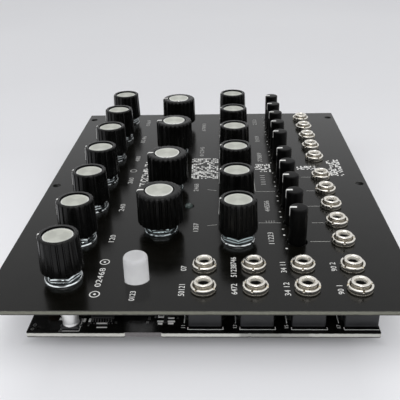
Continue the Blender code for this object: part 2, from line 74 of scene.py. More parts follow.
class Paint:
    """A node material, with short names for the nodes that it uses."""

    def __init__(self, name):
        self.m = bpy.data.materials.new(name)
        self.m.use_nodes = True
        self.t = self.m.node_tree
        self.t.nodes.clear()
        self.out = self.t.nodes.new("ShaderNodeOutputMaterial")
        self.b = self.t.nodes.new("ShaderNodeBsdfPrincipled")
        self.t.links.new(self.b.outputs[0], self.out.inputs["Surface"])
        self._coords = None

    def put(self, socket, value):
        if isinstance(value, bpy.types.NodeSocket):
            self.t.links.new(value, socket)
        elif isinstance(value, tuple) and len(value) == 3 and socket.type == "RGBA":
            socket.default_value = (*value, 1.0)
        else:
            socket.default_value = value

    def set(self, **values):
        for key, value in values.items():
            self.put(self.b.inputs[key.replace("_", " ")], value)
        return self

    def coords(self):
        if self._coords is None:
            self._coords = self.t.nodes.new("ShaderNodeTexCoord").outputs["Object"]
        return self._coords

    def own(self):
        """A number of its own for each object that wears the material."""
        return self.math("MULTIPLY", self.t.nodes.new("ShaderNodeObjectInfo").outputs["Random"], 37.0)

    def math(self, kind, a, b=0.0, c=0.0):
        n = self.t.nodes.new("ShaderNodeMath")
        n.operation = kind
        self.put(n.inputs[0], a)
        self.put(n.inputs[1], b)
        self.put(n.inputs[2], c)
        return n.outputs[0]

    def scaled(self, x=1.0, y=1.0, z=1.0, source=None):
        n = self.t.nodes.new("ShaderNodeVectorMath")
        n.operation = "MULTIPLY"
        self.put(n.inputs[0], source or self.coords())
        n.inputs[1].default_value = (x, y, z)
        return n.outputs[0]

    def noise(self, scale, detail=3.0, rough=0.55, source=None, w=None, distortion=0.0):
        n = self.t.nodes.new("ShaderNodeTexNoise")
        n.noise_dimensions = "4D" if w is not None else "3D"
        self.put(n.inputs["Vector"], source or self.coords())
        if w is not None:
            self.put(n.inputs["W"], w)
        n.inputs["Scale"].default_value = scale
        n.inputs["Detail"].default_value = detail
        n.inputs["Roughness"].default_value = rough
        n.inputs["Distortion"].default_value = distortion
        return n.outputs["Fac"]

    def cells(self, scale, feature="F1", metric="EUCLIDEAN", source=None, out="Distance", randomness=1.0):
        n = self.t.nodes.new("ShaderNodeTexVoronoi")
        n.feature = feature
        if feature != "DISTANCE_TO_EDGE":
            n.distance = metric
        self.put(n.inputs["Vector"], source or self.coords())
        n.inputs["Scale"].default_value = scale
        n.inputs["Randomness"].default_value = randomness
        return n.outputs[out]

    def wave(self, pitch, direction="X", distortion=0.0, kind="BANDS", detail=0.0, detail_scale=1.0, source=None):
        """Bands of the given pitch in metres."""
        n = self.t.nodes.new("ShaderNodeTexWave")
        n.wave_type = kind
        if kind == "BANDS":
            n.bands_direction = direction
        else:
            n.rings_direction = direction
        self.put(n.inputs["Vector"], source or self.coords())
        n.inputs["Scale"].default_value = TAU / (20.0 * pitch)
        n.inputs["Distortion"].default_value = distortion
        n.inputs["Detail"].default_value = detail
        n.inputs["Detail Scale"].default_value = detail_scale
        return n.outputs["Fac"]

    def ramp(self, fac, *stops, ease="LINEAR"):
        n = self.t.nodes.new("ShaderNodeValToRGB")
        n.color_ramp.interpolation = ease
        e = n.color_ramp.elements
        while len(e) < len(stops):
            e.new(0.5)
        for slot, (at, colour) in zip(e, stops):
            slot.position = at
            slot.color = (*colour, 1.0) if isinstance(colour, tuple) else (colour, colour, colour, 1.0)
        self.put(n.inputs[0], fac)
        return n.outputs[0]

    def span(self, fac, low, high, from_low=0.3, from_high=0.7):
        n = self.t.nodes.new("ShaderNodeMapRange")
        self.put(n.inputs[0], fac)
        for i, v in zip((1, 2, 3, 4), (from_low, from_high, low, high)):
            n.inputs[i].default_value = v
        return n.outputs[0]

    def mix(self, fac, a, b, kind="MIX"):
        n = self.t.nodes.new("ShaderNodeMix")
        n.data_type = "RGBA"
        n.blend_type = kind
        self.put(n.inputs[0], fac)
        self.put(n.inputs[6], a)
        self.put(n.inputs[7], b)
        return n.outputs[2]

    def bump(self, height, strength=0.3, distance=0.05, under=None):
        """Distance in millimetres."""
        n = self.t.nodes.new("ShaderNodeBump")
        n.inputs["Strength"].default_value = strength
        n.inputs["Distance"].default_value = distance * MM
        self.put(n.inputs["Height"], height)
        if under is not None:
            self.put(n.inputs["Normal"], under)
        return n.outputs[0]

    def axis(self, name):
        n = self.t.nodes.new("ShaderNodeSeparateXYZ")
        self.put(n.inputs[0], self.coords())
        return n.outputs[name]

    def shade(self, base, tone):
        return self.mix(1.0, base, tone, "MULTIPLY")

    def dark_edge_bands(self, low, high, top, bottom):
        """1 in the middle of a cut edge, 0 in the dark bands along its top and bottom."""
        z = self.axis("Z")
        ragged = self.math("MULTIPLY", self.math("SUBTRACT", self.noise(700, 2, 0.5), 0.5), 0.25 * MM)
        z = self.math("ADD", z, ragged)
        under = self.span(z, 0.0, 1.0, (low + bottom * 0.55) * MM, (low + bottom * 1.25) * MM)
        over = self.span(z, 1.0, 0.0, (high - top * 1.25) * MM, (high - top * 0.55) * MM)
        return self.math("MULTIPLY", under, over)

    def radius(self):
        """Distance from the piece's own upright axis."""
        n = self.t.nodes.new("ShaderNodeVectorMath")
        n.operation = "LENGTH"
        self.put(n.inputs[0], self.scaled(1, 1, 0))
        return n.outputs["Value"]

    def edges(self, size=0.25):
        """1 on worn convex edges, 0 on flat places."""
        n = self.t.nodes.new("ShaderNodeBevel")
        n.samples = 4
        n.inputs["Radius"].default_value = size * MM
        g = self.t.nodes.new("ShaderNodeNewGeometry")
        d = self.t.nodes.new("ShaderNodeVectorMath")
        d.operation = "DOT_PRODUCT"
        self.put(d.inputs[0], n.outputs[0])
        self.put(d.inputs[1], g.outputs["Normal"])
        return self.span(d.outputs["Value"], 1.0, 0.0, 0.80, 0.995)


def make_panel_face():
    p = Paint("panel_face")
    clouds = p.noise(160, 5, 0.6)
    grain = p.noise(5200, 2, 0.5)
    weave = p.math("MULTIPLY", p.wave(0.00046, "X"), p.wave(0.00046, "Y"))
    base = p.ramp(clouds, (0.30, (0.0020, 0.0019, 0.0013)), (0.70, (0.0034, 0.0032, 0.0024)))
    fleck = p.ramp(p.cells(420), (0.02, 1.0), (0.045, 0.0))
    keep = p.ramp(p.noise(95, 2, 0.5), (0.60, 0.0), (0.66, 1.0))
    dust = p.math("MULTIPLY", fleck, keep)
    base = p.mix(p.math("MULTIPLY", dust, 0.25), base, (0.10, 0.10, 0.095))
    scuff = p.noise(700, 4, 0.7, source=p.scaled(1.0, 0.06, 1.0))
    p.set(Base_Color=base,
          Roughness=p.math("ADD", p.span(clouds, 0.16, 0.21), p.span(scuff, -0.02, 0.04, 0.35, 0.7)),
          Specular_IOR_Level=0.30)
    lower = p.bump(weave, 0.10, 0.012)
    p.set(Normal=p.bump(grain, 0.10, 0.012, lower))
    return p.m


def make_panel_cut():
    p = Paint("panel_cut")
    layers = p.wave(0.00021, "Z", 1.6, detail=2, detail_scale=3)
    fibres = p.noise(900, 4, 0.65, source=p.scaled(1, 1, 7))
    routed = p.noise(2600, 2, 0.5, source=p.scaled(1, 1, 0.08))
    base = p.ramp(p.math("ADD", p.math("MULTIPLY", layers, 0.35), p.math("MULTIPLY", fibres, 0.75)),
                  (0.28, (0.080, 0.081, 0.062)), (0.55, (0.142, 0.143, 0.112)), (0.85, (0.225, 0.226, 0.185)))
    # darker along the top and bottom of the panel's cut edge, the lower band wider
    base = p.mix(p.dark_edge_bands(PB, PT, 0.22, 0.42), (0.012, 0.012, 0.010), base)
    p.set(Base_Color=base, Roughness=p.span(fibres, 0.55, 0.75),
          Normal=p.bump(routed, 0.35, 0.03, p.bump(layers, 0.2, 0.02)))
    return p.m


def make_panel_rear():
    p = Paint("panel_rear")
    clouds = p.noise(130, 4, 0.6)
    weave = p.math("MULTIPLY", p.wave(0.00046, "X"), p.wave(0.00046, "Y"))
    p.set(Base_Color=p.ramp(clouds, (0.3, (0.012, 0.012, 0.011)), (0.7, (0.018, 0.018, 0.016))),
          Roughness=p.span(clouds, 0.24, 0.34), Normal=p.bump(weave, 0.15, 0.015))
    return p.m


def make_ink(name="print_ink", far_shade=1.0):
    p = Paint(name)
    worn = p.noise(5200, 3, 0.65)
    base = p.ramp(worn, (0.30, (0.50, 0.50, 0.485)), (0.52, (0.80, 0.80, 0.78)), (0.8, (0.90, 0.90, 0.88)))
    # painted shade: the print is darkened toward the far end of the panel (+X)
    base = p.shade(base, p.ramp(p.span(p.axis("X"), 0.0, 1.0, -60 * MM, 80 * MM), (0.0, 1.0 - 0.08 * far_shade), (0.35, 1.0 - 0.34 * far_shade),
                                (1.0, 1.0 - 0.54 * far_shade)))
    p.set(Base_Color=base, Roughness=p.span(worn, 0.62, 0.48), Normal=p.bump(worn, 0.25, 0.01))
    return p.m


def make_board_ink():
    p = Paint("board_ink")
    worn = p.noise(4300, 3, 0.65)
    base = p.ramp(worn, (0.25, (0.66, 0.66, 0.645)), (0.50, (0.86, 0.86, 0.85)), (0.8, (0.93, 0.93, 0.92)))
    p.set(Base_Color=base, Roughness=p.span(worn, 0.58, 0.42), Normal=p.bump(worn, 0.25, 0.01))
    return p.m


def make_ink_faint():
    p = Paint("print_ink_thin")
    worn = p.noise(3600, 3, 0.65)
    base = p.ramp(worn, (0.30, (0.24, 0.24, 0.23)), (0.60, (0.44, 0.44, 0.42)), (0.85, (0.58, 0.58, 0.56)))
    p.set(Base_Color=base, Roughness=p.span(worn, 0.62, 0.5), Normal=p.bump(worn, 0.25, 0.01))
    return p.m


def make_board_face():
    p = Paint("board_face")
    clouds = p.noise(90, 4, 0.6)
    runs = p.cells(210, "DISTANCE_TO_EDGE", source=p.scaled(1, 1, 0), randomness=0.55)
    traces = p.ramp(runs, (0.05, 1.0), (0.09, 0.0))
    pour = p.ramp(p.cells(55, "F1", "CHEBYCHEV", source=p.scaled(1, 1, 0), out="Distance", randomness=0.7),
                  (0.42, 1.0), (0.45, 0.0))
    copper = p.math("MAXIMUM", traces, pour)
    base = p.mix(copper, p.ramp(clouds, (0.3, (0.0014, 0.0014, 0.0013)), (0.7, (0.0026, 0.0026, 0.0024))),
                 (0.0050, 0.0049, 0.0044))
    p.set(Base_Color=base, Roughness=p.span(clouds, 0.16, 0.26),
          Normal=p.bump(copper, 0.35, 0.03, p.bump(p.noise(1800, 2, 0.5), 0.08, 0.01)))
    return p.m


def make_board_cut():
    p = Paint("board_cut")
    layers = p.wave(0.00022, "Z", 2.2, detail=2, detail_scale=3)
    fibres = p.noise(800, 4, 0.7, source=p.scaled(1, 1, 6))
    run = p.noise(34, 2, 0.5, source=p.scaled(1, 1, 0))
    mixed = p.math("ADD", p.math("MULTIPLY", layers, 0.30), p.math("MULTIPLY", fibres, 0.70))
    base = p.ramp(mixed, (0.25, (0.39, 0.39, 0.35)), (0.50, (0.52, 0.52, 0.48)), (0.80, (0.66, 0.66, 0.63)))
    along = p.span(p.axis("Y"), 0.0, 1.0, -54 * MM, 54 * MM)
    tone = p.ramp(along, (0.0, 0.84), (0.205, 0.86), (0.212, 0.62), (0.278, 0.60), (0.284, 0.48), (0.392, 0.50),
                  (0.400, 1.0), (0.600, 0.98), (0.615, 1.0), (0.716, 1.0), (0.722, 1.0), (0.80, 0.90), (1.0, 0.94))
    base = p.mix(p.ramp(run, (0.30, 0.14), (0.55, 0.0)), base, (0.36, 0.36, 0.32))
    base = p.shade(base, tone)
    # darker along the top and bottom of the board's cut edge, the lower band wider
    base = p.mix(p.dark_edge_bands(BB, BT, 0.14, 0.42), (0.014, 0.014, 0.013), base)
    p.set(Base_Color=base, Roughness=p.span(fibres, 0.5, 0.7),
          Normal=p.bump(p.noise(3000, 2, 0.5, source=p.scaled(1, 1, 0.1)), 0.3, 0.03))
    return p.m


def make_board_routed():
    p = Paint("board_routed")
    fibres = p.noise(1100, 4, 0.7, source=p.scaled(1, 1, 6))
    p.set(Base_Color=p.ramp(fibres, (0.3, (0.095, 0.090, 0.090)), (0.7, (0.175, 0.165, 0.168))),
          Roughness=p.span(fibres, 0.6, 0.8), Normal=p.bump(fibres, 0.5, 0.05))
    return p.m


def make_knob_black():
    p = Paint("knob_black")
    own = p.own()
    cloud = p.noise(240, 4, 0.6, w=own)
    fine = p.noise(3200, 3, 0.6, w=own)
    scratch = p.noise(2600, 2, 0.5, source=p.scaled(1, 1, 0.05), w=own)
    base = p.ramp(cloud, (0.3, (0.0012, 0.0012, 0.0011)), (0.7, (0.0024, 0.0024, 0.0022)))
    base = p.mix(p.math("MULTIPLY", p.edges(0.14), 0.4), base, (0.010, 0.010, 0.0095))
    p.set(Base_Color=base,
          Roughness=p.math("ADD", p.span(cloud, 0.20, 0.27), p.span(scratch, -0.02, 0.04, 0.4, 0.75)),
          Specular_IOR_Level=0.24,
          Normal=p.bump(fine, 0.07, 0.010))
    return p.m


def make_pointer():
    p = Paint("pointer_white")
    own = p.own()
    worn = p.noise(2600, 3, 0.6, w=own)
    p.set(Base_Color=p.ramp(worn, (0.25, (0.62, 0.62, 0.60)), (0.6, (0.80, 0.80, 0.78))),
          Roughness=p.span(worn, 0.35, 0.5), Normal=p.bump(worn, 0.2, 0.01))
    return p.m


def make_disc(name, *painted_sheen_rings):
    p = Paint(name)
    own = p.own()
    r = p.radius()
    rings = p.noise(1.0, 3, 0.7, source=None, w=p.math("ADD", p.math("MULTIPLY", r, 9500.0), own))
    for n in p.t.nodes:
        if n.type == "TEX_NOISE" and n.noise_dimensions == "4D":
            n.noise_dimensions = "1D"
    blotch = p.noise(420, 4, 0.65, w=own)
    hair = p.noise(2400, 3, 0.6, source=p.scaled(1, 0.25, 1), w=own)
    base = p.mix(blotch, (0.650, 0.660, 0.595), (0.745, 0.757, 0.690))
    # painted sheen: the turned grain's highlight painted into the colour, paler to the front and the back, darker at
    # the sides
    x, y = p.axis("X"), p.axis("Y")
    xx, yy = p.math("MULTIPLY", x, x), p.math("MULTIPLY", y, y)
    painted_sheen_fan = p.math("DIVIDE", p.math("SUBTRACT", xx, yy), p.math("ADD", p.math("ADD", xx, yy), (0.9 * MM) ** 2))
    swirl = p.noise(1.0, 3, 0.6, w=own, source=p.scaled(420, 420, 0))
    painted_sheen_fan = p.math("ADD", painted_sheen_fan, p.span(swirl, -0.45, 0.45))
    base = p.shade(base, p.ramp(p.span(painted_sheen_fan, 0.0, 1.0, -1.0, 1.0), (0.0, 0.92), (0.45, 0.98), (0.8, 1.10), (1.0, 1.14)))
    # painted sheen: darker over the middle of the face, paler toward its edge
    base = p.shade(base, p.ramp(p.span(r, 0.0, 1.0, 0.0, 5 * MM), *painted_sheen_rings))
    p.set(Base_Color=base, Metallic=1.0,
          Roughness=p.math("ADD", p.span(rings, 0.30, 0.42), p.span(hair, -0.03, 0.05)),
          Anisotropic=0.55,
          Normal=p.bump(rings, 0.16, 0.008))
    t = p.t.nodes.new("ShaderNodeTangent")
    t.direction_type = "RADIAL"
    t.axis = "Z"
    p.t.links.new(t.outputs[0], p.b.inputs["Tangent"])
    return p.m


def make_disc_rim():
    p = Paint("disc_rim")
    own = p.own()
    hair = p.noise(3000, 2, 0.5, w=own)
    p.set(Base_Color=p.mix(hair, (0.88, 0.89, 0.84), (0.96, 0.97, 0.93)), Metallic=1.0,
          Roughness=p.span(hair, 0.16, 0.26), Normal=p.bump(hair, 0.15, 0.006))
    return p.m


def metal(name, dark, light, rough, own_scale=900, grain=2600, bump=0.15, stretch=(1, 1, 1), edge=None, far_shade=0.0):
    """A plated metal: cloudy tone, fine grain, brighter worn edges, and painted shade that darkens it toward the far
    end of the row.
    """
    p = Paint(name)
    own = p.own()
    cloud = p.noise(own_scale, 4, 0.6, w=own)
    fine = p.noise(grain, 3, 0.6, source=p.scaled(*stretch), w=own)
    base = p.ramp(cloud, (0.3, dark), (0.7, light))
    if edge:
        base = p.mix(p.math("MULTIPLY", p.edges(0.15), 0.7), base, edge)
    # painted shade: darker toward the far end of the row (+X)
    if far_shade:
        base = p.shade(base, p.ramp(p.span(p.axis("X"), 0.0, 1.0, -60 * MM, 80 * MM), (0.0, 1.0), (0.3, 1.0 - far_shade * 0.55),
                                    (0.6, 1.0 - far_shade), (1.0, 1.0 - far_shade)))
    p.set(Base_Color=base, Metallic=1.0,
          Roughness=p.math("ADD", p.span(cloud, rough - 0.04, rough + 0.05), p.span(fine, -0.02, 0.04)),
          Normal=p.bump(fine, bump, 0.010))
    return p.m


def plastic(name, dark, light, rough, scale=400, grain=2600, bump=0.2, edge=None, spec=0.5):
    """A moulded plastic: slight mottling, fine spark grain, paler rubbed edges."""
    p = Paint(name)
    own = p.own()
    cloud = p.noise(scale, 4, 0.6, w=own)
    fine = p.noise(grain, 3, 0.6, w=own)
    base = p.ramp(cloud, (0.3, dark), (0.7, light))
    if edge:
        base = p.mix(p.math("MULTIPLY", p.edges(0.15), 0.6), base, edge)
    p.set(Base_Color=base, Specular_IOR_Level=spec,
          Roughness=p.span(cloud, rough - 0.05, rough + 0.06),
          Normal=p.bump(fine, bump, 0.012))
    return p.m


def make_button():
    p = Paint("button_milky")
    cloud = p.noise(260, 4, 0.6)
    fine = p.noise(2400, 3, 0.6)
    # painted shade: the crown is painted darker than the sides, to even out the stronger light from above
    sides = p.ramp(cloud, (0.3, (0.335, 0.338, 0.344)), (0.7, (0.375, 0.378, 0.384)))
    crown_painted_shade = p.ramp(cloud, (0.3, (0.250, 0.253, 0.260)), (0.7, (0.285, 0.288, 0.295)))
    height = p.t.nodes.new("ShaderNodeSeparateXYZ")
    p.t.links.new(p.coords(), height.inputs[0])
    base = p.mix(p.span(height.outputs["Z"], 0.0, 1.0, (PT + 6.6) * MM, (PT + 7.6) * MM), sides, crown_painted_shade)
    # painted glow: emission standing in for light scattered inside the milky plastic, strongest near the panel
    inner = p.span(height.outputs["Z"], 0.34, 0.22, PT * MM, (PT + 6.0) * MM)
    p.set(Base_Color=base, Roughness=p.span(cloud, 0.30, 0.40), Subsurface_Weight=1.0,
          Subsurface_Radius=(1.0, 1.0, 1.0), Subsurface_Scale=0.005, Specular_IOR_Level=0.35, Coat_Weight=0.2, Coat_Roughness=0.2,
          Emission_Color=p.mix(cloud, (0.93, 0.935, 0.95), (1.0, 1.0, 1.0)), Emission_Strength=inner,
          Normal=p.bump(fine, 0.12, 0.012))
    return p.m


def make_lens():
    p = Paint("lamp_epoxy")
    cloud = p.noise(900, 3, 0.6)
    p.set(Base_Color=p.ramp(cloud, (0.3, (0.040, 0.055, 0.052)), (0.7, (0.075, 0.095, 0.088))),
          Roughness=p.span(cloud, 0.10, 0.18), Subsurface_Weight=0.2, Specular_IOR_Level=0.35,
          Subsurface_Radius=(0.6, 0.8, 0.8), Subsurface_Scale=0.001,
          Coat_Weight=0.1, Coat_Roughness=0.08, Normal=p.bump(cloud, 0.08, 0.01))
    return p.m


def make_solder():
    p = Paint("solder_tin")
    cloud = p.noise(1300, 4, 0.6)
    fine = p.noise(5200, 2, 0.5)
    p.set(Base_Color=p.ramp(cloud, (0.3, (0.52, 0.53, 0.54)), (0.7, (0.72, 0.73, 0.73))), Metallic=1.0,
          Roughness=p.span(cloud, 0.20, 0.36), Normal=p.bump(fine, 0.25, 0.01))
    return p.m


def make_floor():
    p = Paint("floor_paper")
    cloud = p.noise(3.0, 4, 0.5)
    grain = p.noise(900, 2, 0.5)
    tone = p.ramp(cloud, (0.3, (0.560, 0.562, 0.580)), (0.7, (0.580, 0.582, 0.598)))
    ax, ay = p.math("ABSOLUTE", p.axis("X")), p.math("ABSOLUTE", p.axis("Y"))
    # painted shadow: clear is 0 under the module, where the floor is darkened
    clear = p.math("MAXIMUM", p.span(ax, 0.0, 1.0, 72 * MM, 80 * MM), p.span(ay, 0.0, 1.0, 44 * MM, 56 * MM))
    along = p.math("MULTIPLY", p.span(p.axis("X"), 1.0, 0.0, -50 * MM, 80 * MM), p.span(p.axis("X"), 0.0, 1.0, -190 * MM, -84 * MM))
    aside = p.math("MULTIPLY", p.span(ay, 0.0, 1.0, 44 * MM, 66 * MM), p.span(ay, 1.0, 0.0, 66 * MM, 240 * MM))
    # painted light: the floor glows, weakly under the module, more around it and most beside its front half, less
    # toward the back
    painted_light = p.math("ADD", p.span(clear, 0.03, 0.30, 0.0, 1.0), p.math("MULTIPLY", p.math("MULTIPLY", along, aside), 0.24))
    painted_light = p.math("SUBTRACT", painted_light, p.span(p.axis("X"), 0.0, 0.11, -80 * MM, 200 * MM))
    # painted shadow under the module
    tone = p.shade(tone, p.ramp(clear, (0.0, 0.72), (1.0, 1.0)))
    p.set(Base_Color=tone, Emission_Color=tone, Emission_Strength=painted_light,
          Roughness=0.75, Specular_IOR_Level=0.2, Normal=p.bump(grain, 0.05, 0.05))
    return p.m


M = {
    "panel_face": make_panel_face(),
    "panel_cut": make_panel_cut(),
    "panel_rear": make_panel_rear(),
    "ink": make_ink(),
    "board_ink": make_board_ink(),
    "ink_thin": make_ink_faint(),
    "ink_field": make_ink("print_ink_field", 0.0),
    "board_face": make_board_face(),
    "board_cut": make_board_cut(),
    "board_routed": make_board_routed(),
    "knob": make_knob_black(),
    "pointer": make_pointer(),
    # painted shade: a darker, duller copy of the knob plastic for the recess round the disc
    "knob_recess_shade": plastic("knob_recess_shade", (0.0006, 0.0006, 0.0006), (0.0012, 0.0012, 0.0011), 0.5, spec=0.06),
    # painted highlight: a paler copy of the knob plastic for the lip round the recess
    "knob_lip_highlight": plastic("knob_lip_highlight", (0.006, 0.006, 0.006), (0.010, 0.010, 0.0095), 0.30, spec=0.55),
    "disc_side": metal("disc_side", (0.06, 0.06, 0.055), (0.10, 0.10, 0.095), 0.4),
    "disc_small": make_disc("disc_small", (0.0, 0.93), (0.60, 0.94), (0.72, 1.0), (0.80, 1.0)),
    "disc_large": make_disc("disc_large", (0.0, 0.95), (0.82, 0.96), (0.90, 1.0), (1.0, 1.0)),
    "disc_rim": make_disc_rim(),
    "trim": plastic("trimmer_black", (0.0012, 0.0012, 0.0012), (0.0026, 0.0026, 0.0026), 0.34, 500, 2800, 0.08,
                    edge=(0.006, 0.006, 0.006), spec=0.10),
    "collar": plastic("collar_black", (0.006, 0.006, 0.0065), (0.011, 0.011, 0.011), 0.42, 600),
    "zinc": metal("nut_zinc", (0.62, 0.67, 0.69), (0.76, 0.81, 0.83), 0.10, 700, 3000, 0.03, far_shade=0.62,
                  stretch=(1, 1, 0.2)),
    # painted shade: a darker copy of the nut zinc, for the nuts of the large and middle rows
    "zinc_painted_shade": metal("nut_zinc_painted_shade", (0.26, 0.31, 0.32), (0.38, 0.44, 0.45), 0.10, 700, 3000, 0.03),
    "zinc_side": metal("nut_side", (0.56, 0.61, 0.62), (0.68, 0.73, 0.74), 0.07, 700, 3000, 0.03, far_shade=0.62),
    # painted shade: a darker copy of the washer zinc, for the washers under the large knobs
    "washer_painted_shade": metal("washer_zinc_painted_shade", (0.34, 0.38, 0.39), (0.50, 0.55, 0.56), 0.12, 600, 2400, 0.03),
    # painted shade: the washers' flat faces are a dark copy of the zinc, so that only the rounded edge shows bright
    "washer_face_shade": metal("washer_face_shade", (0.075, 0.082, 0.084), (0.12, 0.13, 0.133), 0.16, 600, 2400, 0.03),
    "washer": metal("washer_zinc", (0.80, 0.84, 0.86), (0.93, 0.96, 0.97), 0.10, 600, 2400, 0.03, far_shade=0.66),
    "bushing": metal("bushing_grey", (0.42, 0.43, 0.44), (0.55, 0.56, 0.57), 0.30, 800, 3000, 0.2),
    "shaft": metal("shaft_brass", (0.50, 0.45, 0.34), (0.62, 0.56, 0.43), 0.30, 800, 3000, 0.2),
    "nickel": metal("socket_nickel", (0.90, 0.86, 0.78), (0.98, 0.95, 0.88), 0.10, 700, 3200, 0.03),
    "nickel_bore": metal("socket_mouth", (0.92, 0.89, 0.82), (0.99, 0.97, 0.92), 0.62, 700, 3200, 0.10),
    # painted shade: a darker copy of the nickel for the nuts' foot by the panel
    "nickel_foot_shade": metal("socket_rim_shade", (0.24, 0.228, 0.195), (0.34, 0.32, 0.28), 0.24, 800, 3200, 0.10),
    # painted shade: a dark, brown-tinted copy of the nickel with a painted brown reflection, for the nuts' dish and
    # the bushings' thread
    "nickel_dish_shade": metal("socket_dish_shade", (0.24, 0.215, 0.17), (0.42, 0.385, 0.32), 0.26, 800, 3200, 0.10),
    "bore": plastic("bore_dark", (0.003, 0.003, 0.003), (0.006, 0.006, 0.006), 0.6, 800),
    "socket_case": plastic("socket_case", (0.0100, 0.0104, 0.0116), (0.0150, 0.0154, 0.0174), 0.38, 300, 2200, 0.12,
                           edge=(0.03, 0.03, 0.033)),
    "case_metal": metal("case_steel", (0.50, 0.51, 0.52), (0.64, 0.65, 0.66), 0.30, 300, 2200, 0.18,
                        stretch=(1, 0.15, 1), edge=(0.80, 0.81, 0.82)),
    "case_base": plastic("case_resin", (0.055, 0.030, 0.016), (0.085, 0.048, 0.026), 0.55, 350, 2200, 0.25),
    "trim_case": plastic("trimmer_case", (0.010, 0.016, 0.030), (0.016, 0.024, 0.044), 0.45, 350, 2200, 0.2,
                         edge=(0.06, 0.08, 0.11)),
    "button": make_button(),
    "switch": plastic("switch_black", (0.012, 0.012, 0.012), (0.020, 0.020, 0.020), 0.5, 350, 2200, 0.25,
                      edge=(0.05, 0.05, 0.05)),
    "lens": make_lens(),
    "can": metal("can_aluminium", (0.86, 0.86, 0.85), (0.95, 0.95, 0.94), 0.52, 500, 2600, 0.12,
                 stretch=(1, 1, 0.1)),
    "can_mark": plastic("can_mark", (0.010, 0.010, 0.011), (0.018, 0.018, 0.019), 0.45, 500),
    "resin": plastic("chip_resin", (0.010, 0.010, 0.0105), (0.017, 0.017, 0.0175), 0.55, 500, 3000, 0.35,
                     edge=(0.04, 0.04, 0.04)),
    "solder": make_solder(),
    "pads": metal("pad_tin", (0.60, 0.60, 0.58), (0.76, 0.76, 0.74), 0.30, 1200, 3600, 0.2),
    "tin": plastic("tin_frosted", (0.82, 0.82, 0.80), (0.93, 0.93, 0.92), 0.45, 1400, 3600, 0.3),
    "lead": metal("lead_dull", (0.20, 0.20, 0.20), (0.32, 0.32, 0.32), 0.40, 1200, 3600, 0.2),
    "gold": metal("pin_gold", (0.72, 0.52, 0.22), (0.88, 0.66, 0.30), 0.24, 900, 3200, 0.12),
    "ceramic": plastic("ceramic_tan", (0.20, 0.13, 0.075), (0.29, 0.19, 0.115), 0.45, 900, 3600, 0.2),
    "resistor": plastic("resistor_black", (0.012, 0.012, 0.013), (0.020, 0.020, 0.021), 0.35, 900, 3600, 0.15),
    "header": plastic("header_black", (0.012, 0.012, 0.012), (0.020, 0.020, 0.020), 0.48, 350, 2200, 0.25,
                      edge=(0.05, 0.05, 0.05)),
    "crystal": metal("crystal_steel", (0.60, 0.61, 0.62), (0.75, 0.76, 0.77), 0.22, 500, 2600, 0.12),
}


# ================================================================ mesh helpers

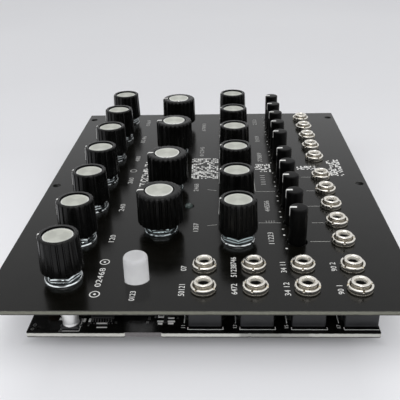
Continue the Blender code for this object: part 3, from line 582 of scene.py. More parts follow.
class Shape:
    """Collects closed forms in millimetres and makes one piece of them."""

    def __init__(self):
        self.v, self.f, self.m = [], [], []

    def add(self, verts, faces, mat=0):
        base = len(self.v)
        self.v += [tuple(v) for v in verts]
        for i, f in enumerate(faces):
            self.f.append(tuple(base + k for k in f))
            self.m.append(mat[i] if isinstance(mat, (list, tuple)) else mat)
        return self

    def lathe(self, rows, at=(0, 0), n=32, angles=None, turn=0.0, ring=False, mat=0):
        """Rows run from the axis at the top, out and down the outside, to the axis
        at the bottom, or round a closed ring. A row is (r, z) or a function of the
        angle that gives one. mat may be a list, one entry for each band."""
        angles = angles or [TAU * k / n for k in range(n)]
        count = len(angles)
        verts, index = [], []
        for row in rows:
            first = row(angles[0]) if callable(row) else row
            if first[0] < 1e-6:
                index.append([len(verts)])
                verts.append((at[0], at[1], first[1]))
                continue
            line = []
            for a in angles:
                r, z = row(a) if callable(row) else row
                line.append(len(verts))
                verts.append((at[0] + r * math.cos(a + turn), at[1] + r * math.sin(a + turn), z))
            index.append(line)
        faces, mats = [], []
        pairs = list(zip(index, index[1:])) + ([(index[-1], index[0])] if ring else [])
        for i, (p, q) in enumerate(pairs):
            band = mat[i] if isinstance(mat, (list, tuple)) else mat
            for k in range(count):
                j = (k + 1) % count
                if len(p) == 1:
                    f = (p[0], q[k], q[j])
                elif len(q) == 1:
                    f = (p[k], q[0], p[j])
                else:
                    f = (p[k], q[k], q[j], p[j])
                faces.append(f)
                mats.append(band)
        return self.add(verts, faces, mats)

    def box(self, low, high, cut=0.0, mat=0, turn=0.0, about=None):
        """A block with its edges cut back by cut."""
        c = [(a + b) / 2 for a, b in zip(low, high)]
        h = [(b - a) / 2 for a, b in zip(low, high)]
        cut = min(cut, *(0.45 * x for x in h))
        verts, faces = [], []
        if cut <= 0:
            signs = [(x, y, z) for x in (-1, 1) for y in (-1, 1) for z in (-1, 1)]
            verts = [(c[0] + x * h[0], c[1] + y * h[1], c[2] + z * h[2]) for x, y, z in signs]
            faces = [(0, 1, 3, 2), (4, 6, 7, 5), (0, 4, 5, 1), (2, 3, 7, 6), (0, 2, 6, 4), (1, 5, 7, 3)]
        else:
            where = {}
            for s in [(x, y, z) for x in (-1, 1) for y in (-1, 1) for z in (-1, 1)]:
                for k in range(3):
                    where[s, k] = len(verts)
                    verts.append(tuple(c[i] + s[i] * (h[i] if i == k else h[i] - cut) for i in range(3)))
            for k in range(3):
                i, j = [a for a in range(3) if a != k]
                for sk in (-1, 1):
                    loop = []
                    for si, sj in ((-1, -1), (1, -1), (1, 1), (-1, 1)):
                        s = [0, 0, 0]
                        s[k], s[i], s[j] = sk, si, sj
                        loop.append(where[tuple(s), k])
                    faces.append(tuple(loop))
            for k in range(3):
                i, j = [a for a in range(3) if a != k]
                for si in (-1, 1):
                    for sj in (-1, 1):
                        s, t = [0, 0, 0], [0, 0, 0]
                        s[i], s[j], s[k] = si, sj, -1
                        t[i], t[j], t[k] = si, sj, 1
                        s, t = tuple(s), tuple(t)
                        faces.append((where[s, i], where[t, i], where[t, j], where[s, j]))
            for s in [(x, y, z) for x in (-1, 1) for y in (-1, 1) for z in (-1, 1)]:
                faces.append((where[s, 0], where[s, 1], where[s, 2]))
        centre = Vector(c)
        ready = []
        for f in faces:
            pts = [Vector(verts[i]) for i in f]
            normal = (pts[1] - pts[0]).cross(pts[2] - pts[0])
            mid = sum(pts, Vector()) / len(pts)
            ready.append(f if normal.dot(mid - centre) > 0 else tuple(reversed(f)))
        if turn:
            about = about or (c[0], c[1])
            ca, sa = math.cos(turn), math.sin(turn)
            verts = [(about[0] + (x - about[0]) * ca - (y - about[1]) * sa,
                      about[1] + (x - about[0]) * sa + (y - about[1]) * ca, z) for x, y, z in verts]
        return self.add(verts, ready, mat)

    def strip(self, path, width, thick, mat=0, at=(0, 0)):
        """A bar of rectangular section that follows a path in the YZ plane. The
        path's left side, seen along +X, is its outer face."""
        pts = [Vector((y, z)) for y, z in path]
        outs = []
        for k in range(len(pts)):
            a = pts[max(k - 1, 0)]
            b = pts[min(k + 1, len(pts) - 1)]
            d = (b - a).normalized()
            outs.append(Vector((-d.y, d.x)))
        verts = []
        for q, o in zip(pts, outs):
            inner = q - o * thick
            for x, s in ((-width / 2, q), (width / 2, q), (width / 2, inner), (-width / 2, inner)):
                verts.append((at[0] + x, at[1] + s.x, s.y))
        faces = []
        for k in range(len(pts) - 1):
            a, b = 4 * k, 4 * k + 4
            for i in range(4):
                j = (i + 1) % 4
                faces.append((a + i, b + i, b + j, a + j))
        faces.append((0, 1, 2, 3))
        e = 4 * (len(pts) - 1)
        faces.append((e + 3, e + 2, e + 1, e))
        return self.add(verts, faces, mat)

    def disc(self, x, y, r, z0, z1, n=16, mat=0):
        return self.lathe([(0, z1), (r, z1), (r, z0), (0, z0)], (x, y), n, mat=mat)

    def plate(self, points, z0, z1, mat=0):
        """A flat plate from a convex outline, counter-clockwise."""
        n = len(points)
        verts = [(x, y, z1) for x, y in points] + [(x, y, z0) for x, y in points]
        faces = [tuple(range(n)), tuple(range(2 * n - 1, n - 1, -1))]
        faces += [(k, n + k, n + (k + 1) % n, (k + 1) % n) for k in range(n)]
        return self.add(verts, faces, mat)

    def mesh(self, name, mats, sharp=38.0, smooth=True):
        mesh = bpy.data.meshes.new(name)
        mesh.from_pydata([(x * MM, y * MM, z * MM) for x, y, z in self.v], [], self.f)
        for m in mats:
            mesh.materials.append(M[m])
        mesh.polygons.foreach_set("material_index", self.m)
        mesh.update()
        mesh.validate()
        if smooth:
            mesh.shade_smooth()
            mesh.set_sharp_from_angle(angle=math.radians(sharp))
        return mesh


def piece(name, mesh, body="module", at=(0, 0), nodes=()):
    ob = bpy.data.objects.new(name, mesh)
    bpy.context.scene.collection.objects.link(ob)
    ob.location = (at[0] * MM, at[1] * MM, 0)
    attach(ob, body)
    if nodes:
        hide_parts(*nodes)
    return ob


def cut_plate(name, outline, holes, z0, z1, edge, mats, angles=48):
    """A flat plate with round holes and lightly broken edges. Materials are
    its top, its cut sides and its underside."""
    curve = bpy.data.curves.new(name, "CURVE")
    curve.dimensions = "2D"
    curve.fill_mode = "BOTH"
    curve.extrude = ((z1 - z0) / 2 - edge) * MM
    curve.bevel_depth = edge * MM
    curve.bevel_resolution = 0
    curve.offset = -edge * MM
    loops = [outline] + [[(x + r * math.cos(TAU * k / n), y + r * math.sin(TAU * k / n)) for k in range(n)]
                         for x, y, r, n in [(*h, angles)[:4] for h in holes]]
    for loop in loops:
        s = curve.splines.new("POLY")
        s.points.add(len(loop) - 1)
        for q, (x, y) in zip(s.points, loop):
            q.co = (x * MM, y * MM, 0, 1)
        s.use_cyclic_u = True
    ob = bpy.data.objects.new(name + "_outline", curve)
    bpy.context.scene.collection.objects.link(ob)
    bpy.context.view_layer.update()
    mesh = bpy.data.meshes.new_from_object(ob.evaluated_get(bpy.context.evaluated_depsgraph_get()))
    bpy.data.objects.remove(ob, do_unlink=True)
    bpy.data.curves.remove(curve)
    mesh.name = name
    mesh.transform(Matrix.Translation((0, 0, (z0 + z1) / 2 * MM)))
    mesh.materials.clear()
    for m in mats:
        mesh.materials.append(M[m])
    xs, ys = [q[0] for q in outline], [q[1] for q in outline]
    inside = (min(xs) + 0.5, max(xs) - 0.5, min(ys) + 0.5, max(ys) - 0.5)
    for f in mesh.polygons:
        c = f.center / MM
        hole = inside[0] < c.x < inside[1] and inside[2] < c.y < inside[3]
        f.material_index = 0 if f.normal.z > 0.9 else 2 if f.normal.z < -0.9 or hole else 1
        f.use_smooth = False
    return mesh


def rounded(x0, y0, x1, y1, r, steps=5):
    """Outline of a rectangle with rounded corners, counter-clockwise."""
    out = []
    for cx, cy, start in ((x1 - r, y1 - r, 0), (x0 + r, y1 - r, 90), (x0 + r, y0 + r, 180), (x1 - r, y0 + r, 270)):
        for k in range(steps + 1):
            a = math.radians(start + 90 * k / steps)
            out.append((cx + r * math.cos(a), cy + r * math.sin(a)))
    return out


def numerals(body, x, y, size, z0, z1, along="centre", stretch=1.0):
    """Raised numerals from the standard font, as mesh data. size is the digit height."""
    curve = bpy.data.curves.new("numerals", "FONT")
    curve.body = body
    curve.size = size / 0.72 * MM
    curve.resolution_u = 3
    curve.extrude = (z1 - z0) / 2 * MM
    curve.align_x = {"centre": "CENTER", "left": "LEFT"}[along]
    ob = bpy.data.objects.new("numerals", curve)
    bpy.context.scene.collection.objects.link(ob)
    bpy.context.view_layer.update()
    mesh = bpy.data.meshes.new_from_object(ob.evaluated_get(bpy.context.evaluated_depsgraph_get()))
    bpy.data.objects.remove(ob, do_unlink=True)
    bpy.data.curves.remove(curve)
    verts = [(x + v.co.x / MM * stretch, y - size / 2 + v.co.y / MM, (z0 + z1) / 2 + v.co.z / MM)
             for v in mesh.vertices]
    faces = [tuple(p.vertices) for p in mesh.polygons]
    bpy.data.meshes.remove(mesh)
    return verts, faces


# ============================================================== camera, light

def make_camera():
    f, tilt, yaw, roll = 602.54, 0.463807, -0.0403854, 0.0241017
    a = Vector((math.sin(yaw) * math.cos(tilt), math.cos(yaw) * math.cos(tilt), -math.sin(tilt)))
    r = Vector((math.cos(yaw), -math.sin(yaw), 0.0))
    d = a.cross(r)
    c, s = math.cos(roll), math.sin(roll)
    r, d = c * r + s * d, -s * r + c * d

    def turned(v):                  # right, away, up -> the module's own axes
        return Vector((v.y, -v.x, v.z))

    right, up, back = turned(r), -turned(d), -turned(a)
    cam = bpy.data.cameras.new("camera")
    cam.sensor_width = 36.0
    cam.lens = f / 400 * 36.0
    cam.shift_x = -0.0051
    cam.clip_start, cam.clip_end = 0.01, 20.0
    ob = bpy.data.objects.new("camera", cam)
    bpy.context.scene.collection.objects.link(ob)
    m = Matrix((right, up, back)).transposed().to_4x4()
    m.translation = Vector((-223.445, -6.833, 121.348)) * MM
    ob.matrix_world = m
    bpy.context.scene.camera = ob


def make_light():
    world = bpy.data.worlds.new("studio")
    bpy.context.scene.world = world
    world.use_nodes = True
    t = world.node_tree
    t.nodes.clear()
    out = t.nodes.new("ShaderNodeOutputWorld")
    back = t.nodes.new("ShaderNodeBackground")
    co = t.nodes.new("ShaderNodeTexCoord")
    sep = t.nodes.new("ShaderNodeSeparateXYZ")
    t.links.new(co.outputs["Generated"], sep.inputs[0])

    def sky(stops):
        """Grey by height of the direction: -1 straight down, 1 straight up."""
        span = t.nodes.new("ShaderNodeMapRange")
        span.inputs[1].default_value = -1.0
        span.inputs[2].default_value = 1.0
        ramp = t.nodes.new("ShaderNodeValToRGB")
        t.links.new(sep.outputs["Z"], span.inputs[0])
        t.links.new(span.outputs[0], ramp.inputs[0])
        e = ramp.color_ramp.elements
        while len(e) < len(stops):
            e.new(0.5)
        for slot, (z, v) in zip(e, stops):
            slot.position = (z + 1) / 2
            slot.color = (v * 0.985, v * 0.99, v, 1)
        return ramp.outputs[0]

    ahead = sky(((-1.0, 0.66), (0.0, 0.78), (0.38, 0.76), (0.50, 0.66), (0.60, 0.70), (0.80, 0.72), (1.0, 0.72)))
    around = sky(((-1.0, 0.80), (0.0, 0.95), (0.60, 0.92), (0.85, 0.72), (1.0, 0.66)))
    turn = t.nodes.new("ShaderNodeMapRange")
    turn.interpolation_type = "SMOOTHSTEP"
    turn.inputs[1].default_value = -0.15
    turn.inputs[2].default_value = 0.55
    t.links.new(sep.outputs["X"], turn.inputs[0])
    whole = t.nodes.new("ShaderNodeMix")
    whole.data_type = "RGBA"
    t.links.new(turn.outputs[0], whole.inputs[0])
    t.links.new(around, whole.inputs[6])
    t.links.new(ahead, whole.inputs[7])
    pale = t.nodes.new("ShaderNodeBackground")
    pale.inputs["Color"].default_value = (0.80, 0.80, 0.81, 1)
    path = t.nodes.new("ShaderNodeLightPath")
    mix = t.nodes.new("ShaderNodeMixShader")
    # a dim patch where the photographer stands
    dim = t.nodes.new("ShaderNodeVectorMath")
    dim.operation = "DOT_PRODUCT"
    dim.inputs[1].default_value = (-0.876, 0.0, 0.482)
    t.links.new(co.outputs["Generated"], dim.inputs[0])
    patch = t.nodes.new("ShaderNodeMapRange")
    patch.interpolation_type = "SMOOTHSTEP"
    for i, v in zip((1, 2, 3, 4), (0.90, 0.965, 1.0, 0.22)):
        patch.inputs[i].default_value = v
    t.links.new(dim.outputs["Value"], patch.inputs[0])
    shade = t.nodes.new("ShaderNodeVectorMath")
    shade.operation = "SCALE"
    t.links.new(whole.outputs[2], shade.inputs[0])
    t.links.new(patch.outputs[0], shade.inputs["Scale"])
    t.links.new(shade.outputs[0], back.inputs["Color"])
    back.inputs["Strength"].default_value = 1.0
    t.links.new(path.outputs["Is Camera Ray"], mix.inputs[0])
    t.links.new(back.outputs[0], mix.inputs[1])
    t.links.new(pale.outputs[0], mix.inputs[2])
    t.links.new(mix.outputs[0], out.inputs["Surface"])

    def lamp(name, size, energy, at, to, colour=(1, 1, 1), shiny=True):
        data = bpy.data.lights.new(name, "AREA")
        data.shape = "RECTANGLE"
        data.size, data.size_y = size
        data.energy = energy
        data.color = colour
        ob = bpy.data.objects.new(name, data)
        bpy.context.scene.collection.objects.link(ob)
        ob.location = at
        ob.visible_glossy = shiny
        ob.rotation_mode = "QUATERNION"
        ob.rotation_quaternion = (Vector(to) - Vector(at)).to_track_quat("-Z", "Y")

    lamp("overhead", (0.70, 0.95), 3.1, (-0.10, 0.0, 1.1), (0, 0, 0), (1.0, 0.995, 0.98))
    lamp("low", (0.22, 1.3), 3.2, (-1.05, 0.0, 0.30), (-0.05, 0, 0), (0.985, 0.985, 1.0), False)
    lamp("front", (0.40, 1.0), 1.9, (-0.72, 0.0, 0.92), (-0.05, 0, 0), (0.99, 0.99, 1.0))

    floor = bpy.data.meshes.new("floor")
    n, r = 96, 3.0
    floor.from_pydata([(r * math.cos(TAU * k / n), r * math.sin(TAU * k / n), -0.00005) for k in range(n)],
                      [], [tuple(range(n))])
    floor.materials.append(make_floor())
    ob = bpy.data.objects.new("floor", floor)
    bpy.context.scene.collection.objects.link(ob)
    bpy.context.scene.view_settings.view_transform = "Standard"


make_camera()
make_light()

# ================================================================= front panel

holes = [(x, y, 1.6) for x in RAIL_X for y in (-RAIL_Y, RAIL_Y)]
holes += [(x, TOP_Y, 3.95) for x in TOP_X] + [(x, BIG_Y, 3.95) for x in BIG_X]
holes += [(x, MID_Y, 3.95) for x in MID_X]
holes += [(x, TRIM_Y, 3.4) for x in CV_X] + [(x, CV_Y, 3.45) for x in CV_X]
holes += [(x, y, 3.45) for x in IO_X for y in IO_Y]
holes += [(*BUTTON, 4.22), (*LAMP, 1.9)]
panel = cut_plate("front_panel_face", rounded(-86.2, -64.25, 86.2, 64.25, 0.35, 3), holes, PB, PT, 0.12,
                  ("panel_face", "panel_cut", "panel_rear"))
piece("front_panel_face", panel, nodes=("front_panel",))

# --- print on the panel: numerals, rings, rules and speckle fields

Z0, Z1 = PT - 0.01, PT + 0.018
bright, faint = Shape(), Shape()


def write(text, x, y, size=1.9, stretch=1.0, into=None):
    v, f = numerals(text, x, y, size, Z0, Z1, stretch=stretch)
    (into or bright).add(v, f)


def rule(x0, y0, x1, y1, w=0.22, into=None):
    """A straight printed rule."""
    d = Vector((x1 - x0, y1 - y0))
    n = Vector((-d.y, d.x)).normalized() * w / 2
    pts = [(x0 - n.x, y0 - n.y), (x1 - n.x, y1 - n.y), (x1 + n.x, y1 + n.y), (x0 + n.x, y0 + n.y)]
    area = sum(a[0] * b[1] - b[0] * a[1] for a, b in zip(pts, pts[1:] + pts[:1]))
    (into or bright).plate(pts if area > 0 else pts[::-1], Z0, Z1)


def ring(x, y, r, w=0.3, into=None):
    (into or bright).lathe([(r - w / 2, Z1), (r + w / 2, Z1), (r + w / 2, Z0), (r - w / 2, Z0)],
                           (x, y), 28, ring=True)


def dot(x, y, r=0.4, into=None):
    (into or bright).disc(x, y, r, Z0, Z1, 14)


write("02468", -69.3, 31.4, 1.95, 1.55)
for cx in (-78.2, -60.6):
    ring(cx, 31.4, 1.45, 0.32)
    dot(cx, 31.4, 0.42)
write("120", -46.0, 31.5, 2.0, 1.35)
write("240", -22.6, 31.5, 2.0, 1.45)
write("360", 1.6, 31.5, 2.0, 1.45)
ring(11.6, 31.6, 1.3, 0.32)
write("480", 25.0, 31.5, 2.0, 1.45)
write("0246", 49.0, 31.7, 2.0, 1.6)
write("0369", 73.0, 31.9, 2.0, 1.6)
write("1357", -38.4, 3.1, 1.9, 1.25)
write("2468", -5.4, 4.2, 1.9, 1.35)
write("012345", 33.0, 3.0, 1.9, 1.45)
write("678901", 66.0, 3.0, 1.9, 1.5)
write("11223", -46.0, -22.7, 2.0, 1.25)
write("44556", -22.0, -22.9, 2.0, 1.30)
write("11111", 1.5, -22.8, 2.0, 1.50)
write("77889", 25.5, -22.8, 2.0, 1.50)
write("0101", 48.6, -22.8, 2.0, 1.5)
write("2323", 72.6, -22.8, 2.0, 1.5)
write("0123", -79.0, 20.2, 1.75, 1.02)
write("50121", -75.9, 5.9, 1.85, 1.02)
write("07", -64.4, 5.9, 1.85, 1.15)
write("6472", -75.6, -9.7, 1.85, 1.10)
write("51238746", -63.6, -9.7, 1.85, 1.12)
write("34 12", -75.6, -25.3, 1.85, 1.20)
write("34 11", -63.7, -25.2, 1.85, 1.15)
write("90 1", -75.8, -40.9, 1.85, 1.12)
write("90 2", -63.6, -40.8, 1.85, 1.12)

# short marks beside the large knobs
rule(-37.0, -0.9, -36.2, -4.3, 0.22, faint)
rule(-7.4, -0.5, -8.4, -3.9, 0.22, faint)
# rules that tie the control sockets to the knobs above
for x, ya, yb in ((-48.2, -35.7, -42.3), (-35.15, -37.9, -42.3), (-22.3, -37.6, -42.6), (-9.15, -39.3, -42.3),
                  (3.85, -38.8, -42.7)):
    rule(x, ya, x, yb, 0.24, faint)
rule(-9.45, -19.2, -9.45, -27.0, 0.26, faint)
rule(-9.45, -19.2, 7.0, -19.2, 0.22, faint)
rule(-35.05, -19.1, -35.05, -27.0, 0.26, faint)
for y in (-21.9, -22.9, -23.8, -24.7):
    rule(-35.05, y, -33.4, y, 0.18, faint)
# scale dots of the trimmers
for x in CV_X:
    for side in (-4.45, 4.45):
        dot(x + side, -27.4, 0.42 if x < 0 else 0.34, bright if x < -45 else faint)


def speckle(corners, cell, fill, seed, into):
    """A loose field of little blocks, an even grain with no figure in it."""
    rnd = random.Random(seed)
    (ax, ay), (bx, by), (cx, cy), (dx, dy) = corners
    nu = max(1, round(math.hypot(bx - ax, by - ay) / cell))
    nv = max(1, round(math.hypot(dx - ax, dy - ay) / cell))
    for i in range(nu):
        for j in range(nv):
            if rnd.random() > fill:
                continue
            u, v = (i + 0.5) / nu, (j + 0.5) / nv
            x = (ax * (1 - u) + bx * u) * (1 - v) + (dx * (1 - u) + cx * u) * v
            y = (ay * (1 - u) + by * u) * (1 - v) + (dy * (1 - u) + cy * u) * v
            h = cell * rnd.uniform(0.36, 0.49)
            k = cell * rnd.uniform(0.34, 0.49)
            into.plate([(x - h, y - k), (x + h, y - k), (x + h, y + k), (x - h, y + k)], Z0, Z1)


fields = Shape()
speckle(((-8.0, 27.5), (22.0, 27.5), (22.0, 20.5), (-8.0, 20.5)), 0.82, 0.52, 11, fields)
speckle(((3.0, -4.6), (24.6, -4.6), (24.6, 7.2), (3.0, 6.6)), 0.82, 0.52, 12, fields)
speckle(((9.4, -26.8), (17.8, -26.8), (17.8, -19.4), (9.4, -20.6)), 0.82, 0.48, 13, fields)
speckle(((11.6, -46.0), (15.4, -46.0), (15.4, -37.8), (11.6, -37.8)), 0.82, 0.50, 14, fields)
speckle(((5.0, -56.8), (22.0, -56.8), (22.0, -51.2), (5.0, -51.2)), 0.82, 0.48, 15, fields)
piece("panel_print", bright.mesh("panel_print", ("ink",), smooth=False))
piece("panel_print_rules", faint.mesh("panel_print_rules", ("ink_thin",), smooth=False))
piece("panel_print_speckle", fields.mesh("panel_print_speckle", ("ink_field",), smooth=False))

# ======================================================================= knobs


def knob_rows(top_r, foot_r, hole_r, flat_r, flutes, depth, width, top):
    """Rows and angles of a fluted knob with a round recess in its top. Heights
    are above the panel."""

    def groove(a):
        t = ((a - math.pi / 2) * flutes / TAU) % 1.0
        t = abs(t - 0.5)
        return max(0.0, math.cos(math.pi / 2 * min(1.0, t / width))) ** 0.8

    def fluted(r, z, k):
        return lambda a: (r - depth * k * groove(a), z + PT)

    def side(z, k, inset=0.0):
        return fluted(top_r + (foot_r - top_r) * (14.6 - z) / 11.0 - inset, z, k)

    angles = []
    for i in range(flutes):
        for t in (0.0, 0.12, 0.22, 0.29, 0.35, 0.40, 0.45, 0.5, 0.55, 0.60, 0.65, 0.71, 0.78, 0.88):
            angles.append(math.pi / 2 + TAU * (i + t) / flutes)
    slope = top_r - flat_r
    rows = [(0.0, PT + 14.22), (hole_r - 0.03, PT + 14.24), (hole_r, PT + top - 0.10), (hole_r + 0.07, PT + top - 0.015),
            (hole_r + 0.24, PT + top + 0.005), (max(hole_r + 0.28, flat_r - 0.30), PT + top - 0.01),
            fluted(flat_r, top - 0.02, 0.30),
            fluted(flat_r + slope * 0.42, top - slope * 0.13, 0.45),
            fluted(flat_r + slope * 0.75, top - slope * 0.38, 0.65),
            fluted(flat_r + slope * 0.94, top - slope * 0.72, 0.85),
            fluted(top_r, top - slope * 1.15, 1.0), side(14.0, 1.0), side(9.0, 1.0), side(4.3, 1.0),
            side(4.0, 1.0, 0.02), side(3.78, 0.9, 0.10), side(3.66, 0.7, 0.26), (foot_r - 0.55, PT + 3.62),
            (foot_r - 1.05, PT + 3.62), (foot_r - 1.15, PT + 3.8), (foot_r - 1.15, PT + 5.6), (3.95, PT + 5.6),
            (3.95, PT + 3.95), (3.80, PT + 3.8), (2.95, PT + 3.8), (2.62, PT + 4.1), (2.62, PT + 13.2),
            (0.0, PT + 13.2)]
    return rows, angles


def knob_body(name, shape, marks, width):
    """A knob and its raised white line; each mark is a path in radius and height."""
    s = Shape()
    rows, angles = knob_rows(*shape)
    # the recess wears painted shade and the lip round it a painted highlight
    s.lathe(rows, angles=angles, mat=[2, 2, 3, 3] + [0] * (len(rows) - 5))
    for path, thick in marks:
        s.strip([(y, z + PT) for y, z in path], width, thick, mat=1)
    return s.mesh(name, ("knob", "pointer", "knob_recess_shade", "knob_lip_highlight"), 30)


def knob_disc(name, r, z, kind):
    """A turned metal disc: flat face, a bright ring cut at its edge."""
    s = Shape()
    s.lathe([(0, PT + z), (r * 0.5, PT + z), (r - 0.52, PT + z), (r - 0.48, PT + z + 0.012),
             (r - 0.12, PT + z + 0.004), (r - 0.01, PT + z - 0.20), (r, PT + z - 0.25), (r, PT + 14.26), (0, PT + 14.26)],
            n=72, mat=[0, 0, 1, 1, 1, 2, 2, 2])
    return s.mesh(name, (("disc_small", "disc_large")[kind], "disc_rim", "disc_side"), 20)


def knob_shaft(name):
    """A splined shaft."""
    s = Shape()
    n = 36
    spline = [lambda a, z=z: (2.50 - (0.10 if round(a / TAU * n) % 2 else 0.0), z) for z in (PT + 13.0, PT + 2.9)]
    s.lathe([(0, PT + 13.05), (2.3, PT + 13.05), *spline, (2.52, PT + 2.7), (2.52, PB - 2.0), (0, PB - 2.0)],
            n=n)
    return s.mesh(name, ("shaft",), 35)


small = knob_body("knob_small_body", (6.2, 6.65, 4.95, 5.66, 20, 0.34, 0.19, 15.42), [
    ([(5.60, 15.45), (5.86, 15.44), (6.04, 15.41), (6.17, 15.27), (6.21, 15.12)], 0.20),
    ([(6.24, 14.72), (6.40, 14.52), (6.64, 9.75), (6.48, 9.30)], 0.34)], 0.70)
mid = knob_body("knob_mid_body", (6.2, 6.65, 4.95, 5.66, 20, 0.34, 0.19, 15.42), [
    ([(5.60, 15.45), (5.86, 15.44), (6.04, 15.41), (6.17, 15.27), (6.21, 15.12)], 0.20),
    ([(6.20, 14.72), (6.26, 14.52), (6.49, 9.75), (6.40, 9.30)], 0.16)], 0.70)
large = knob_body("knob_large_body", (7.8, 7.95, 5.30, 6.90, 24, 0.55, 0.25, 15.30), [
    ([(5.36, 15.335), (6.98, 15.335), (7.34, 15.24), (7.62, 15.01), (7.77, 14.72)], 0.24)], 0.82)
small_disc, large_disc = knob_disc("knob_small_disc", 4.75, 14.87, 0), knob_disc("knob_large_disc", 4.88, 15.26, 1)
shaft = knob_shaft("knob_shaft")
for group, xs, y, mesh, disc in (("top", TOP_X, TOP_Y, small, small_disc), ("large", BIG_X, BIG_Y, large, large_disc),
                                 ("mid", MID_X, MID_Y, mid, small_disc)):
    for n, x in enumerate(xs):
        name = "knob_%s_%d" % (group, n + 1)
        piece(name + "_grip", mesh, name + "_body", (x, y), (name,))
        piece(name + "_disc", disc, name + "_body", (x, y), (name,))
        piece(name + "_shaft", shaft, name + "_body", (x, y), (name,))

# trimmer knobs: slim, with one white line on top and down the side
s = Shape()
s.lathe([(0, PT + 13.10), (2.45, PT + 13.10), (2.70, PT + 13.075), (2.88, PT + 12.98), (2.975, PT + 12.82),
         (2.995, PT + 12.5), (3.0, PT + 8.0), (3.0, PT + 0.3), (2.95, PT - 0.1), (2.80, PT - 0.2),
         (1.55, PT - 0.2), (1.40, PT - 0.4), (1.40, PB - 1.4), (0, PB - 1.4)], n=48)
path = [(0.75, 13.13), (2.45, 13.13), (2.715, 13.10), (2.91, 12.99), (3.01, 12.82), (3.035, 12.5), (3.035, 10.0)]
s.strip([(y, z + PT) for y, z in path], 0.98, 0.15, mat=1)
trim = s.mesh("trim_knob_grip", ("trim", "pointer"), 30)
for n, x in enumerate(CV_X):
    name = "trim_knob_%d" % (n + 1)
    piece(name + "_grip", trim, name + "_body", (x, TRIM_Y), (name,))

# ============================================================== potentiometers


def hex_nut(s, x, y, turn, z0, z1, half=5.0, bore=3.52, mats=(0, 1)):
    """A hex nut with its corners chamfered on both faces and a groove round its facets."""
    def flat_r(a):
        return half / math.cos((a % (TAU / 6)) - TAU / 12)

    def row(inset, z, fall):
        return lambda a: (flat_r(a) - inset - (flat_r(a) - half) * 0.25 * (inset > 0), z - (flat_r(a) - half) * fall)

    s.lathe([(bore + 0.28, z1), (half - 0.32, z1), row(0.20, z1 - 0.02, 0.25), row(0.03, z1 - 0.31, 0.55),
             row(0.0, z1 - 0.37, 0.60), row(0.0, z1 - 0.94, 0.0), row(0.19, z1 - 1.03, 0.0), row(0.02, z1 - 1.31, 0.0),
             row(0.0, z1 - 1.36, 0.0), row(0.0, z0 + 0.10, -0.25), row(0.08, z0, 0.0), (bore, z0),
             (bore, z1 - 0.28)], (x, y), n=72, turn=turn, ring=True,
            mat=[mats[0]] * 4 + [mats[1]] * 2 + [mats[0]] * 2 + [mats[1]] * 2 + [mats[0]] * 3)


def pots(row, xs, y, turns):
    cases, bushes, washers, nuts = Shape(), Shape(), Shape(), Shape()
    for x, turn in zip(xs, turns):
        # resin base, folded steel cover with side tabs, three terminals
        cases.box((x - 4.55, y - 5.3, MZ), (x + 4.55, y + 5.3, MZ + 2.6), 0.15, 1)
        cases.box((x - 4.78, y - 4.6, MZ + 2.2), (x + 4.78, y + 5.45, MZ + 6.55), 0.35, 0)
        cases.box((x - 4.80, y - 1.3, MZ + 0.5), (x - 4.50, y + 1.3, MZ + 3.0), 0.08, 0)
        cases.box((x + 4.50, y - 1.3, MZ + 0.5), (x + 4.80, y + 1.3, MZ + 3.0), 0.08, 0)
        for sx in (-1, 1):
            cases.box((x + sx * 4.62 - 0.12, y - 0.8, BT - 2.6), (x + sx * 4.62 + 0.12, y + 0.8, MZ + 1.2), 0.05, 2)
            cases.box((x + sx * 2.7 - 0.5, y - 4.95, MZ + 3.1), (x + sx * 2.7 + 0.5, y - 4.45, MZ + 5.3), 0.08, 0)
        for k in (-2.5, 0.0, 2.5):
            cases.box((x + k - 0.45, y - 5.48, MZ + 0.3), (x + k + 0.45, y - 5.15, MZ + 2.2), 0.08, 2)
            cases.box((x + k - 0.25, y - 5.48, BT - 2.7), (x + k + 0.25, y - 5.28, MZ + 0.5), 0.05, 2)
        # threaded bushing with an open bore
        rows = [(2.95, PT + 2.78), (3.05, PT + 2.86), (3.25, PT + 2.86), (3.44, PT + 2.68)]
        z = 2.5
        while z > -1.4:
            rows += [(3.46, PT + z), (3.30, PT + z - 0.19), (3.30, PT + z - 0.25), (3.46, PT + z - 0.44)]
            z -= 0.5
        rows += [(3.48, PB - 0.3), (3.9, PB - 0.5), (3.9, MZ + 6.3), (2.95, MZ + 6.3)]
        bushes.lathe([(r, min(z, PT + 2.86)) for r, z in rows], (x, y), 36, ring=True)
        # stamped washer, faintly domed, then the nut
        # the washer's flat faces wear painted shade, so that only the rounded edge shows bright
        washers.lathe([(3.75, PT + 0.62), (3.85, PT + 0.72), (5.62, PT + 0.72), (5.74, PT + 0.67), (5.90, PT + 0.40),
                       (5.96, PT + 0.20), (5.95, PT + 0.02), (3.75, PT + 0.02)],
                      (x, y), 72, ring=True, mat=[1, 1, 0, 0, 0, 1, 1, 1])
        hex_nut(nuts, x, y, math.radians(30 + turn), PT + 0.76, PT + 2.56)
    node = "pots_%s_row" % row
    piece(node + "_cases", cases.mesh(node + "_cases", ("case_metal", "case_base", "pads"), 30), nodes=(node,))
    piece(node + "_bushings", bushes.mesh(node + "_bushings", ("bushing",), 30), nodes=(node,))
    # the large and middle rows wear painted shade on their nuts, the large row on its washers too
    piece(node + "_washers", washers.mesh(node + "_washers", ("washer_painted_shade" if row == "large" else "washer", "washer_face_shade"), 22), nodes=(node,))
    piece(node + "_nuts", nuts.mesh(node + "_nuts", ("zinc" if row == "top" else "zinc_painted_shade", "zinc_side"), 25), nodes=(node,))


pots("top", TOP_X, TOP_Y, TOP_TURNS)
pots("large", BIG_X, BIG_Y, NUT_TURNS[2:])
pots("mid", MID_X, MID_Y, NUT_TURNS[4:] + NUT_TURNS[:3])

